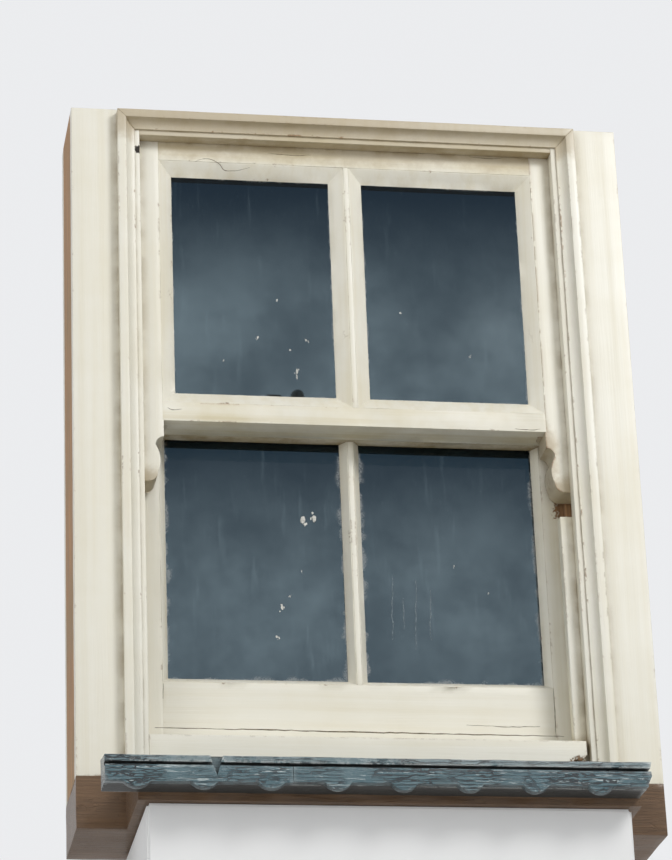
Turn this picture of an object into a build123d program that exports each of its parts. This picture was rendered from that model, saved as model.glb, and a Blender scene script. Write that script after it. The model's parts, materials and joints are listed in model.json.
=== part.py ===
"""Box sash window: two sliding sashes of two panes each, hung on cords over axle
pulleys, with their weights inside the hollow sides of the frame.

Frame of reference, millimetres: X runs across the window, Y points inwards,
Z points up. The origin lies on the flat underside of the sub sill, in the middle
of the opening, in line with the front face of the outside linings.
"""
from build123d import *
from math import radians, sqrt, tan
import os

os.makedirs("parts", exist_ok=True)

# Opening and frame
opening_width = 518.0        # between the faces of the pulley stiles
head_soffit = 858.0          # underside of the head board over the underside of the sub sill
lining_thick = 16.0
lining_lap = 12.0            # what the outside lining covers of the sash edge
stile_thick = 20.0           # pulley stile and head board
stile_housing = 6.0          # foot of the pulley stile let into the sill
stile_return = 5.0           # pulley stile behind the track of the lower sash
pocket_width = 40.0          # hollow for the weights
back_lining_thick = 8.0

# Sashes
sash_thick = 36.0
side_play = 0.5              # running gap of a sash beside the stile, bead and lining
stile_width = 42.0           # sash stile and top rail
moulding_width = 7.0         # depth of the glazing rebate and of the inner moulding
rebate_depth = 12.0          # from the sash face to the glass
glass_thick = 3.0
moulding_flat = 3.5          # square edge beside the glass before the moulding turns
bar_width = 21.0
bar_fin = 6.0                # what the bar shows between its two rebates
bar_nose = 8.0               # the bar's narrow inner edge
ovolo_quirk = 1.2            # step where the inner moulding starts
ovolo_mid = 0.28             # part of the moulding's width left at the middle of its curve
ovolo_swell = 3.0            # that point of the curve behind the middle of the flat
bar_swell = 1.6              # the same for the narrower curve of a glazing bar
meeting_height = 30.0
meeting_level = 518.5        # top of both meeting rails
meeting_reach = 1.0          # upper meeting rail behind the sash face, at its top
meeting_splay = 4.0          # what the sloping faces gain from top to bottom
meeting_gap = 0.5
bottom_rail_height = 78.0
tenon_thick = 12.0
tenon_inset = 5.0            # shoulder above and below a tenon
tenon_foot = 6.0             # timber left under the bottom rail's mortise
lap_gap = 1.5                # meeting rail's lap beside the parting bead
cord_groove = 12.0           # width and depth of the groove in the sash edge
upper_putty_reach = 9.5      # putty beyond the sight line of the upper panes
lower_putty_reach = 0.8
putty_setback = 0.3          # putty behind the sash face
putty_lip = 0.8              # thin flat edge of the putty on the timber
glass_gap = 0.5              # glass edge to the bottom of its rebate

# Horns under the upper sash
horn_drop = 75.0
horn_straight = 20.0
horn_cove = 9.5
horn_hollow = 10.5
horn_belly = 4.6             # belly's fullest point behind the horn's inner edge
horn_belly_drop = 44.5       # and under the meeting rail
horn_heel = 7.4
horn_heel_drop = 63.5
horn_curl = 11.5
horn_curl_drop = 72.5
horn_toe = 20.0
horn_setback = 1.0           # inner edge of the horn beside the line of the stile's rebate
horn_cove_over = 0.75        # where the cove turns: parts of its width
horn_cove_down = 0.32        # and of its height

# Beads
parting_thick = 8.0
parting_width = 16.0
parting_groove = 6.0
staff_cover = 12.0           # staff bead on the pulley stile's face
staff_lining_cover = 8.0     # staff bead over the inside lining's edge
staff_proud = 2.0            # staff bead in front of the inside lining
staff_round = 4.0
staff_sill_height = 20.0
slip_thick = 5.0
slip_gap = 2.0
slip_rise = 60.0             # foot of the parting slip over the sill

# Sills
sub_sill_back = 59.0         # height of the sub sill under the frame
sub_sill_nose = 36.0         # height of its front edge
chip_middle = -193.5         # wedge that has split out of the front edge
chip_half = 7.0
chip_foot = 14.0
break_depth = 7.0            # what the broken right end has lost at its foot
reveal_depth = 105.0         # depth of the sub sill's notches in front of the linings
nose_reach = 42.0            # sub sill in front of its notches
nose_left = 311.0            # nose beyond the middle, at the left end
nose_right = 275.0
nose_lift = 8.0              # underside of the nose over the bed
brick_half_gap = 272.0       # half of the sub sill's width between its notches
lip_height = 7.0
lip_reach = 8.0
apron_thick = 10.0
apron_top = 25.0
scallop_pitch = 70.7
scallop_first = -277.4
scallop_count = 8
scallop_width = 28.0
scallop_rest = 0.5           # tip of a scallop over the bed
apron_joint = -113.0
apron_step = 1.2             # the short length hangs lower by this
sill_front_rise = 48.7       # front arris of the timber sill over the sub sill
sill_slope = 10.0            # degrees
bottom_gap = 0.3
sill_end_gap = 5.0           # open joint between the sill's right end and its lining
decay_reach = 20.0           # rotted lower corner beside that joint
decay_rise = 34.0
decay_depth = 9.0

# Brick mould
mould_width = 21.0
mould_reach = 13.0
mould_margin = 6.0           # lining that shows inside the mould
mould_nose = 10.0            # flat front edge of the mould
mould_cove = 6.0             # its hollow is deepest this far in from its inner edge
mould_quirk = 2.5
mould_mid = 0.38             # and at this part of its reach
mitre_gap = 0.2

# Pulleys, cords and weights
wheel_drop = 68.0            # axle under the head board
wheel_pitch_radius = 22.0    # from the axle to the middle of the cord
wheel_rim_gain = 1.5
wheel_width = 10.0
wheel_play = 0.5
cord_dia = 5.0
cord_clear = 0.3
cord_in_sash = 5.0           # middle of the cord behind the pulley stile's face
axle_dia = 6.0
axle_play = 0.05
case_wall = 2.0
plate_thick = 3.0
plate_width = 24.0
plate_margin = 20.0          # face plate above and below the wheel
case_margin = 3.0            # case outside the wheel's rim
slot_margin = 2.5            # slot of the face plate beyond the wheel
cord_end_drop = 150.0        # fixed end of the cord below the top of its sash
weight_dia = 28.0
upper_weight_length = 326.0
lower_weight_length = 331.0
weight_headroom = 55.5       # lower weight under its pulley case when that sash is shut
upper_travel = 30.0
upper_weight_rise = 20.0     # upper weights over the sill when that sash is shut
weight_round = 5.0
weight_shoulder = 15.0       # height of the shoulder under the neck
weight_neck_height = 11.0
weight_neck_half = 7.0

# Pocket pieces and stop batten
pocket_foot = 150.0
pocket_height = 170.0
pocket_bevel = 8.0
pocket_gap = 0.3
batten_width = 26.0
batten_thick = 14.0

# Fastener and lifts
fastener_x = -92.0
fastener_forward = 2.0       # pivot in front of the middle of the lower sash
fastener_plate_length = 58.0
fastener_plate_width = 22.0
fastener_plate_thick = 2.5
fastener_plate_round = 5.0
post_dia = 12.0
post_height = 7.0
lever_thick = 4.0
lever_width = 9.0
lever_lift = 0.3
cap_thick = 2.5
cap_step = 1.0               # cap smaller than the post all round
knob_reach = 35.0
knob_dia = 16.0
knob_stem_dia = 6.0
knob_centre_rise = 32.0      # middle of the knob over the meeting rail
nose_length = 35.0           # from the pivot to the tip of the hook end
pivot_dia = 5.0
keep_gap = 0.5
keep_wall = 3.0
keep_length = 40.0
keep_bay_play = 2.0          # beside the hook end
keep_setback = 1.0           # keep behind the edge of its rail
lift_width = 34.0
lift_height = 38.0
lift_plate = 3.0
lift_hook = 22.0
lift_spread = 120.0
lift_rise = 28.0             # foot of the lifts over the foot of the sash
lift_round = 6.0
lift_inset = 4.0             # hook narrower than its plate on each side
lift_lip = 3.0
lift_lip_height = 10.0
lift_hook_thick = 3.5

# Screws
screw_head_dia = 6.5
screw_dia = 3.5
screw_sink = 1.9             # depth of the countersunk head
screw_length = 14.0
screw_point = 3.0
screw_slot = 0.9
screw_play = 0.05            # hole of a fitting round its screws
arris = 1.0                  # eased edge on painted timber
over = 1.0                   # what a cutting shape stands past the face that it cuts

# Places worked out from the sizes above
half_opening = opening_width / 2
lining_arris_x = half_opening - lining_lap
lining_arris_z = head_soffit - lining_lap
pocket_x = half_opening + stile_thick
back_x = pocket_x + pocket_width
frame_half = back_x + back_lining_thick
frame_top = head_soffit + stile_thick

outer_y0 = lining_thick + side_play
outer_y1 = outer_y0 + sash_thick
parting_y0 = outer_y1 + side_play
parting_y1 = parting_y0 + parting_thick
inner_y0 = parting_y1 + side_play
inner_y1 = inner_y0 + sash_thick
staff_y0 = inner_y1 + side_play
inside_y0 = staff_y0 + stile_return
inside_y1 = inside_y0 + lining_thick
nose_y = -reveal_depth - nose_reach

sill_front_z = sub_sill_back + sill_front_rise
sill_rise = tan(radians(sill_slope))
sill_back_z = sill_front_z + staff_y0 * sill_rise

sash_half = half_opening - side_play
sight_x = sash_half - stile_width
rebate_x = sight_x + moulding_width
upper_top = head_soffit - side_play
upper_sight_top = upper_top - stile_width
meeting_foot = meeting_level - meeting_height
lower_foot = sill_front_z + inner_y0 * sill_rise + bottom_gap
lower_sight_foot = lower_foot + bottom_rail_height
outer_mid = (outer_y0 + outer_y1) / 2
inner_mid = (inner_y0 + inner_y1) / 2

cord_x = half_opening - cord_in_sash
wheel_level = head_soffit - wheel_drop
wheel_x = cord_x + wheel_pitch_radius
weight_x = wheel_x + wheel_pitch_radius
wheel_groove_radius = wheel_pitch_radius - cord_dia / 2 - cord_clear
wheel_rim_radius = wheel_pitch_radius + wheel_rim_gain
case_radius = wheel_rim_radius + case_margin
case_half = wheel_width / 2 + wheel_play
lower_weight_foot = wheel_level - case_radius - weight_headroom - lower_weight_length
upper_weight_foot = sill_back_z + upper_weight_rise
fastener_y = inner_mid - fastener_forward
fastener_top = meeting_level + fastener_plate_thick
hook_z = fastener_top + post_height + lever_lift
LEFT, RIGHT = -1, 1
sides = (("left", LEFT), ("right", RIGHT))


def save(part, name):
    """Label a finished piece and write it as its own file."""
    part.label = name
    export_step(part, f"parts/{name}.step")


def board(x0, x1, y0, y1, z0, z1, ease=0.0):
    """A straight board between two corners, its long edges eased."""
    size = (x1 - x0, y1 - y0, z1 - z0)
    long_axis = (Axis.X, Axis.Y, Axis.Z)[size.index(max(size))]
    with BuildPart() as piece:
        with Locations(((x0 + x1) / 2, (y0 + y1) / 2, (z0 + z1) / 2)):
            Box(*size)
        if ease:
            chamfer(piece.edges().filter_by(long_axis), ease)
    return piece.part


def side_board(side, inner, outer, y0, y1, z0, z1, ease=0.0):
    """A board at the left or right, given by its distances from the middle."""
    x0, x1 = sorted((side * inner, side * outer))
    return board(x0, x1, y0, y1, z0, z1, ease)


def mirrored(part, side):
    """The part as it stands at the right, or its mirror image at the left."""
    if side == RIGHT:
        return part
    with BuildPart() as flipped:
        mirror(part, about=Plane.YZ)
    return flipped.part


def sub_sill():
    """Wide sill under the frame, notched at both sides behind its horned nose."""
    slope_front = (nose_y, sub_sill_nose)
    with BuildPart() as sill:
        with BuildSketch(Plane.XY):
            with BuildLine():
                Polyline(
                    (-frame_half, 0), (-brick_half_gap, 0), (-brick_half_gap, -reveal_depth),
                    (-nose_left, -reveal_depth), (-nose_left, nose_y), (nose_right, nose_y),
                    (nose_right, -reveal_depth), (brick_half_gap, -reveal_depth),
                    (brick_half_gap, 0), (frame_half, 0), (frame_half, inside_y1),
                    (-frame_half, inside_y1), close=True)
            make_face()
        extrude(amount=sub_sill_back)
        with BuildSketch(Plane.YZ):
            with BuildLine():
                Polyline(
                    slope_front, (0, sub_sill_back), (0, sub_sill_back + over),
                    (nose_y - over, sub_sill_back + over), (nose_y - over, sub_sill_nose), close=True)
            make_face()
        extrude(amount=2 * frame_half, both=True, mode=Mode.SUBTRACT)
        with BuildSketch(Plane.YZ):
            with BuildLine():
                Polyline(
                    (nose_y - over, sub_sill_nose - lip_height),
                    (nose_y + lip_reach, sub_sill_nose - lip_height),
                    (nose_y + lip_reach, nose_lift), (-reveal_depth, nose_lift),
                    (-reveal_depth, -over), (nose_y - over, -over), close=True)
            make_face()
        extrude(amount=2 * frame_half, both=True, mode=Mode.SUBTRACT)
        add(chip(), mode=Mode.SUBTRACT)
        add(broken_end(), mode=Mode.SUBTRACT)
    return sill.part


def chip():
    """The wedge that has split out of the sub sill's front edge."""
    with BuildPart() as wedge:
        with BuildSketch(Plane.XZ.offset(-nose_y - lip_reach)):
            with BuildLine():
                Polyline(
                    (chip_middle - chip_half, sub_sill_nose + over), (chip_middle, chip_foot),
                    (chip_middle + chip_half, sub_sill_nose + over), close=True)
            make_face()
        extrude(amount=lip_reach + apron_thick)
    return wedge.part


def broken_end():
    """What the ragged right end of the nose has lost."""
    end = nose_right + over
    with BuildPart() as loss:
        with BuildSketch(Plane.XZ.offset(reveal_depth)):
            with BuildLine():
                Polyline(
                    (end, sub_sill_nose + over), (nose_right - break_depth * 0.1, sub_sill_nose + over),
                    (nose_right - break_depth * 0.4, sub_sill_nose - lip_height),
                    (nose_right - break_depth * 0.25, apron_top * 0.8),
                    (nose_right - break_depth * 0.85, apron_top * 0.45),
                    (nose_right - break_depth, -over), (end, -over), close=True)
            make_face()
        extrude(amount=nose_reach + apron_thick)
    return loss.part


def apron(x0, x1, drop):
    """Scalloped board under the lip, with its tongues hanging below the nose."""
    low = nose_lift - drop
    tip = scallop_rest
    front = nose_y + lip_reach - apron_thick
    first = scallop_first - x0
    centres = [x0 + first + scallop_pitch * i for i in range(scallop_count)]
    with BuildPart() as piece:
        with BuildSketch(Plane.XZ.offset(-front - apron_thick)):
            with Locations(((x0 + x1) / 2, (apron_top + low) / 2)):
                Rectangle(x1 - x0, apron_top - low)
            for centre in centres:
                if x0 < centre < x1:
                    with BuildLine():
                        ThreePointArc(
                            (centre - scallop_width / 2, low), (centre, tip),
                            (centre + scallop_width / 2, low))
                        Line((centre + scallop_width / 2, low), (centre - scallop_width / 2, low))
                    make_face()
        extrude(amount=apron_thick)
        add(chip(), mode=Mode.SUBTRACT)
        add(broken_end(), mode=Mode.SUBTRACT)
    return piece.part


def timber_sill():
    """Weathered sill of the box frame, notched behind the linings at its ends."""
    with BuildPart() as sill:
        with BuildSketch(Plane.YZ):
            with BuildLine():
                Polyline(
                    (0, sub_sill_back), (0, sill_front_z), (staff_y0, sill_back_z),
                    (inside_y1, sill_back_z), (inside_y1, sub_sill_back), close=True)
            make_face()
        extrude(amount=back_x, both=True)
        for side in (LEFT, RIGHT):
            for inner, y0, y1 in (
                    (lining_arris_x, -over, lining_thick), (half_opening, inside_y0, inside_y1 + over)):
                notch = side_board(
                    side, inner, back_x + over, y0, y1, sub_sill_back - over, sill_back_z + over)
                add(notch, mode=Mode.SUBTRACT)
            foot = side_board(
                side, half_opening, pocket_x, lining_thick, inside_y0,
                sill_front_z - stile_housing, sill_back_z + over)
            add(foot, mode=Mode.SUBTRACT)
        end = lining_arris_x - sill_end_gap
        joint = board(
            end, lining_arris_x + over, -over, lining_thick, sub_sill_back - over, sill_back_z)
        add(joint, mode=Mode.SUBTRACT)
        with BuildSketch(Plane.XZ.offset(-decay_depth)):
            with BuildLine():
                low = sub_sill_back - over
                Polyline(
                    (end - decay_reach, low), (end - decay_reach, sub_sill_back + decay_rise * 0.7),
                    (end - decay_reach * 0.6, sub_sill_back + decay_rise * 0.8),
                    (end - decay_reach * 0.35, sub_sill_back + decay_rise * 0.75),
                    (end + over, sub_sill_back + decay_rise), (end + over, low), close=True)
            make_face()
        extrude(amount=decay_depth + over, mode=Mode.SUBTRACT)
    return sill.part


def pulley_stile(side):
    """Inner side of the box: bead groove, pulley mortises and the weight pocket."""
    with BuildPart() as stile:
        foot = sill_front_z - stile_housing
        add(board(half_opening, pocket_x, lining_thick, inside_y0, foot, head_soffit))
        add(board(
            half_opening - over, half_opening + parting_groove, parting_y0, parting_y1,
            foot - over, head_soffit + over), mode=Mode.SUBTRACT)
        for mid in (outer_mid, inner_mid):
            add(board(
                half_opening - over, half_opening + plate_thick, mid - plate_width / 2,
                mid + plate_width / 2, wheel_level - wheel_rim_radius - plate_margin,
                wheel_level + wheel_rim_radius + plate_margin), mode=Mode.SUBTRACT)
            add(board(
                half_opening, pocket_x + over, mid - case_half - case_wall,
                mid + case_half + case_wall, wheel_level - case_radius, wheel_level + case_radius),
                mode=Mode.SUBTRACT)
            for z in plate_screw_levels:
                add(screw_space((half_opening, mid, z), (-1, 0, 0)), mode=Mode.SUBTRACT)
        add(pocket_shape(0.0), mode=Mode.SUBTRACT)
    return mirrored(stile.part, side)


def pocket_shape(gap):
    """The pocket piece, or its hole when there is no gap."""
    foot = pocket_foot + gap
    top = pocket_foot + pocket_height - gap
    with BuildPart() as piece:
        with BuildSketch(Plane.XZ.offset(-inside_y0)):
            with BuildLine():
                Polyline(
                    (half_opening, foot), (pocket_x, foot + pocket_bevel),
                    (pocket_x, top + pocket_bevel), (half_opening, top), close=True)
            make_face()
        extrude(amount=inside_y0 - parting_y1 - gap)
    return piece.part


def stop_batten():
    """Batten in the outer track, under the horn, that stops the upper sash."""
    top = meeting_foot - horn_drop - upper_travel - side_play
    with BuildPart() as piece:
        add(board(
            half_opening - batten_width, half_opening, outer_y0, outer_y0 + batten_thick,
            sill_front_z, top, arris))
        add(sill_space(), mode=Mode.SUBTRACT)
    return piece.part


def sill_space():
    """The room under the sloping top of the timber sill, for cutting feet to the slope."""
    with BuildPart() as space:
        with BuildSketch(Plane.YZ):
            with BuildLine():
                Polyline(
                    (0, 0), (0, sill_front_z), (staff_y0, sill_back_z),
                    (inside_y1 + staff_proud + over, sill_back_z),
                    (inside_y1 + staff_proud + over, 0), close=True)
            make_face()
        extrude(amount=frame_half, both=True)
    return space.part


def parting_bead(side):
    """Bead between the two sashes, seated in the pulley stile's groove."""
    face = half_opening + parting_groove
    with BuildPart() as piece:
        add(side_board(
            side, face - parting_width, face, parting_y0, parting_y1, sill_front_z, head_soffit, arris))
        add(sill_space(), mode=Mode.SUBTRACT)
    return piece.part


def staff_bead(side):
    """Rounded bead that holds the lower sash in its track."""
    inner = half_opening - staff_cover
    outer = half_opening
    with BuildPart() as piece:
        add(board(inner, outer, staff_y0, inside_y1, sill_back_z, head_soffit))
        add(board(
            inner, outer + staff_lining_cover, inside_y1, inside_y1 + staff_proud, sill_back_z,
            head_soffit))
        nose = piece.edges().filter_by(Axis.Z).group_by(Axis.X)[0]
        fillet(nose, staff_round)
    return mirrored(piece.part, side)


def brick_mould_profile():
    """Section of the mould: a cove towards the opening, a fillet at the front."""
    with BuildSketch() as section:
        with BuildLine():
            Line((0, 0), (mould_width, 0))
            Line((mould_width, 0), (mould_width, -mould_reach))
            Line((mould_width, -mould_reach), (mould_width - mould_nose, -mould_reach))
            ThreePointArc(
                (mould_width - mould_nose, -mould_reach), (mould_cove, -mould_reach * mould_mid),
                (0, -mould_quirk))
            Line((0, -mould_quirk), (0, 0))
        make_face()
    return section.sketch


def brick_mould_side(side):
    """Upright length of the mould, scribed to the sub sill and mitred at the head."""
    inner = lining_arris_x + mould_margin
    corner = lining_arris_z + mould_margin
    foot = sub_sill_back - mould_reach * (sub_sill_back - sub_sill_nose) / -nose_y
    with BuildPart() as piece:
        with BuildSketch(Plane.XY.offset(foot)):
            with Locations((inner, 0)):
                add(brick_mould_profile())
        extrude(amount=corner + mould_width - foot)
        with BuildSketch(Plane.XZ):
            with BuildLine():
                Polyline(
                    (inner - over, corner - over - mitre_gap),
                    (inner + mould_width + over, corner + mould_width + over - mitre_gap),
                    (inner - over, corner + mould_width + over), close=True)
            make_face()
        extrude(amount=mould_reach + over, both=True, mode=Mode.SUBTRACT)
        add(sub_sill_body, mode=Mode.SUBTRACT)
    return mirrored(piece.part, side)


def brick_mould_head():
    """Head length of the mould with mitred ends."""
    inner = lining_arris_x + mould_margin
    corner = lining_arris_z + mould_margin
    with BuildPart() as piece:
        with BuildSketch(Plane.YZ.offset(-inner - mould_width)):
            with BuildLine():
                top = corner + mould_width
                Line((0, corner), (0, top))
                Line((0, top), (-mould_reach, top))
                Line((-mould_reach, top), (-mould_reach, top - mould_nose))
                ThreePointArc(
                    (-mould_reach, top - mould_nose), (-mould_reach * mould_mid, corner + mould_cove),
                    (-mould_quirk, corner))
                Line((-mould_quirk, corner), (0, corner))
            make_face()
        extrude(amount=2 * (inner + mould_width))
        for side in (LEFT, RIGHT):
            with BuildSketch(Plane.XZ):
                with BuildLine():
                    Polyline(
                        (side * (inner - over), corner - over),
                        (side * (inner + mould_width + over), corner - over),
                        (side * (inner + mould_width + over), corner + mould_width + over), close=True)
                make_face()
            extrude(amount=mould_reach + over, both=True, mode=Mode.SUBTRACT)
    return piece.part


def edge_profile(front, outer):
    """Sash member in section: u runs from the glass edge outwards, v from the face inwards."""
    back = front + sash_thick
    glass_back = front + rebate_depth + glass_thick
    turn = glass_back + moulding_flat
    with BuildSketch() as section:
        with BuildLine():
            Line((moulding_width, front), (outer, front))
            Line((outer, front), (outer, back))
            Line((outer, back), (moulding_width, back))
            ThreePointArc(
                (moulding_width, back), (moulding_width * ovolo_mid, (turn + back) / 2 + ovolo_swell),
                (ovolo_quirk, turn))
            Line((ovolo_quirk, turn), (0, turn))
            Line((0, turn), (0, glass_back))
            Line((0, glass_back), (moulding_width, glass_back))
            Line((moulding_width, glass_back), (moulding_width, front))
        make_face()
    return section.sketch


def horn(front):
    """Shaped end of the stile below the meeting rail."""
    top = meeting_foot
    inner = rebate_x - horn_setback
    toe = inner + horn_toe
    with BuildPart() as piece:
        with BuildSketch(Plane.XZ.offset(-front - sash_thick)):
            with BuildLine():
                notch = (inner + horn_cove, top - horn_straight - horn_hollow)
                Line((inner, top), (inner, top - horn_straight))
                ThreePointArc(
                    (inner, top - horn_straight),
                    (inner + horn_cove * horn_cove_over, top - horn_straight - horn_hollow * horn_cove_down),
                    notch)
                heel = (inner + horn_heel, top - horn_heel_drop)
                ThreePointArc(notch, (inner + horn_belly, top - horn_belly_drop), heel)
                ThreePointArc(heel, (inner + horn_curl, top - horn_curl_drop), (toe, top - horn_drop))
                Line((toe, top - horn_drop), (sash_half, top - horn_drop))
                Line((sash_half, top - horn_drop), (sash_half, top))
                Line((sash_half, top), (inner, top))
            make_face()
        extrude(amount=sash_thick)
    return piece.part


def sash_stile(side, front, foot, top, tenons, with_horn):
    """Upright of a sash with rebate, moulding, cord groove and mortises."""
    mid = front + sash_thick / 2
    with BuildPart() as piece:
        with BuildSketch(Plane.XY.offset(foot)):
            with Locations((sight_x, 0)):
                add(edge_profile(front, stile_width))
        extrude(amount=top - foot)
        if with_horn:
            add(horn(front))
        else:
            add(sill_space_for_sash(), mode=Mode.SUBTRACT)
        groove = board(
            sash_half - cord_groove, sash_half + over, mid - cord_groove / 2, mid + cord_groove / 2,
            top - cord_end_drop, top + over)
        add(groove, mode=Mode.SUBTRACT)
        for low, high in tenons:
            add(tenon(front, low, high), mode=Mode.SUBTRACT)
    return mirrored(piece.part, side)


def sill_space_for_sash():
    """What the bottom of the lower sash leaves free above the sill."""
    with BuildPart() as space:
        with BuildSketch(Plane.YZ):
            with BuildLine():
                start = sill_front_z + bottom_gap
                Polyline(
                    (0, 0), (0, start), (inside_y1, start + inside_y1 * sill_rise),
                    (inside_y1, 0), close=True)
            make_face()
        extrude(amount=frame_half, both=True)
    return space.part


def tenon(front, low, high):
    """Tenon of a rail at the right, or the mortise for it."""
    y0 = front + rebate_depth + glass_thick
    return board(
        sight_x, sash_half - cord_groove, y0, y0 + tenon_thick, low + tenon_inset, high - tenon_inset)


def rail(section_points, stiles, front, low, high):
    """Rail between the stiles, scribed over their mouldings, with its tenons."""
    with BuildPart() as piece:
        with BuildSketch(Plane.YZ.offset(-rebate_x)):
            add(section_points)
        extrude(amount=2 * rebate_x)
        for stile in stiles:
            add(stile, mode=Mode.SUBTRACT)
        for side in (LEFT, RIGHT):
            add(mirrored(tenon(front, low, high), side))
    return piece.part


def rail_section(front, sight, outer):
    """Section of a top or bottom rail; outer lies above or below the sight line."""
    back = front + sash_thick
    glass_back = front + rebate_depth + glass_thick
    turn = glass_back + moulding_flat
    way = 1 if outer > sight else -1
    step = way * moulding_width
    with BuildSketch() as section:
        with BuildLine():
            Line((front, sight + step), (front, outer))
            Line((front, outer), (back, outer))
            Line((back, outer), (back, sight + step))
            ThreePointArc(
                (back, sight + step), ((turn + back) / 2 + ovolo_swell, sight + step * ovolo_mid),
                (turn, sight + way * ovolo_quirk))
            Line((turn, sight + way * ovolo_quirk), (turn, sight))
            Line((turn, sight), (glass_back, sight))
            Line((glass_back, sight), (glass_back, sight + step))
            Line((glass_back, sight + step), (front, sight + step))
        make_face()
    return section.sketch


def upper_meeting_section():
    """Meeting rail of the upper sash: rebated for the glass, sloping at the back."""
    glass_back = outer_y0 + rebate_depth + glass_thick
    with BuildSketch() as section:
        with BuildLine():
            Polyline(
                (outer_y0, meeting_foot), (outer_y0, meeting_level - moulding_width),
                (glass_back, meeting_level - moulding_width), (glass_back, meeting_level),
                (outer_y1 + meeting_reach, meeting_level),
                (outer_y1 + meeting_reach + meeting_splay, meeting_foot), close=True)
        make_face()
    return section.sketch


def lower_meeting_section():
    """Meeting rail of the lower sash: its sloping front bears on the upper rail."""
    face = outer_y1 + meeting_reach + meeting_gap
    glass_back = inner_y0 + rebate_depth + glass_thick
    with BuildSketch() as section:
        with BuildLine():
            Polyline(
                (face, meeting_level), (inner_y1, meeting_level), (inner_y1, meeting_foot),
                (glass_back, meeting_foot), (glass_back, meeting_foot + moulding_width),
                (inner_y0 + rebate_depth, meeting_foot + moulding_width),
                (inner_y0 + rebate_depth, meeting_foot), (face + meeting_splay, meeting_foot),
                close=True)
        make_face()
    return section.sketch


def meeting_lap(back_face):
    """Ends of a meeting rail that lap over the sash stiles up to the parting beads."""
    reach = half_opening + parting_groove - parting_width - lap_gap
    face = outer_y1 + meeting_reach
    with BuildPart() as laps:
        with BuildSketch(Plane.YZ.offset(rebate_x)):
            with BuildLine():
                if back_face:
                    Polyline(
                        (outer_y1, meeting_foot), (outer_y1, meeting_level), (face, meeting_level),
                        (face + meeting_splay, meeting_foot), close=True)
                else:
                    near = face + meeting_gap
                    Polyline(
                        (near, meeting_level), (inner_y0, meeting_level), (inner_y0, meeting_foot),
                        (near + meeting_splay, meeting_foot), close=True)
            make_face()
        extrude(amount=reach - rebate_x)
        mirror(about=Plane.YZ)
    return laps.part


def glazing_bar(front, foot, top):
    """Bar between two panes: a thin fin outside, a moulded body inside."""
    back = front + sash_thick
    glass_front = front + rebate_depth
    turn = glass_front + glass_thick + moulding_flat
    half = bar_width / 2
    nose = bar_nose / 2
    fin = bar_fin / 2
    with BuildPart() as piece:
        with BuildSketch(Plane.XY.offset(foot)):
            with BuildLine():
                Line((0, front), (fin, front))
                Line((fin, front), (fin, glass_front + glass_thick))
                Line((fin, glass_front + glass_thick), (half, glass_front + glass_thick))
                Line((half, glass_front + glass_thick), (half, turn))
                ThreePointArc(
                    (half, turn), (nose + bar_swell, (turn + back) / 2 + ovolo_quirk), (nose, back))
                Line((nose, back), (0, back))
                Line((0, back), (0, front))
            make_face()
            mirror(about=Plane.YZ)
        extrude(amount=top - foot)
    return piece.part


def pane(front, x0, x1, foot, top):
    """One pane of glass in its rebates."""
    y0 = front + rebate_depth
    return board(
        x0 + glass_gap, x1 - glass_gap, y0, y0 + glass_thick, foot + glass_gap, top - glass_gap)


def putty_ring(front, x0, x1, foot, top, reaches):
    """Putty fillet round one pane: level with the face outside, sloping to the glass."""
    y0 = front + putty_setback
    y1 = front + rebate_depth
    left, right, low, high = reaches
    lip = min(high, putty_lip)
    with BuildPart() as ring:
        with BuildSketch(Plane.XZ.offset(-y1)):
            with Locations(((x0 + x1) / 2, (foot + top) / 2)):
                Rectangle(x1 - x0, top - foot)
        extrude(amount=y1 - y0)
        with BuildSketch(Plane.XZ.offset(-y1)):
            with Locations(((x0 + left + x1 - right) / 2, (foot + low + top - high) / 2)):
                Rectangle(x1 - x0 - left - right, top - foot - low - high)
        with BuildSketch(Plane.XZ.offset(-y0)):
            with Locations(((x0 + x1) / 2, (foot + putty_lip + top - lip) / 2)):
                Rectangle(x1 - x0 - 2 * putty_lip, top - foot - putty_lip - lip)
        loft(mode=Mode.SUBTRACT)
    return ring.part


def group(*pieces):
    """Like pieces that share one node, each a solid of its own."""
    with BuildPart() as together:
        for piece in pieces:
            add(piece)
    return together.part


def glazing(front, foot, top, reach, groove=0):
    """Both panes of a sash and their putty, which leaves out the top where a groove holds the glass."""
    fin = bar_fin / 2
    ends = moulding_width + reach
    head = -over if groove else ends
    inner = bar_width / 2 - fin + reach
    panes = group(
        pane(front, -rebate_x, -fin, foot, top + groove), pane(front, fin, rebate_x, foot, top + groove))
    putty = group(
        putty_ring(front, -rebate_x, -fin, foot, top, (ends, inner, ends, head)),
        putty_ring(front, fin, rebate_x, foot, top, (inner, ends, ends, head)))
    return panes, putty


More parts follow.
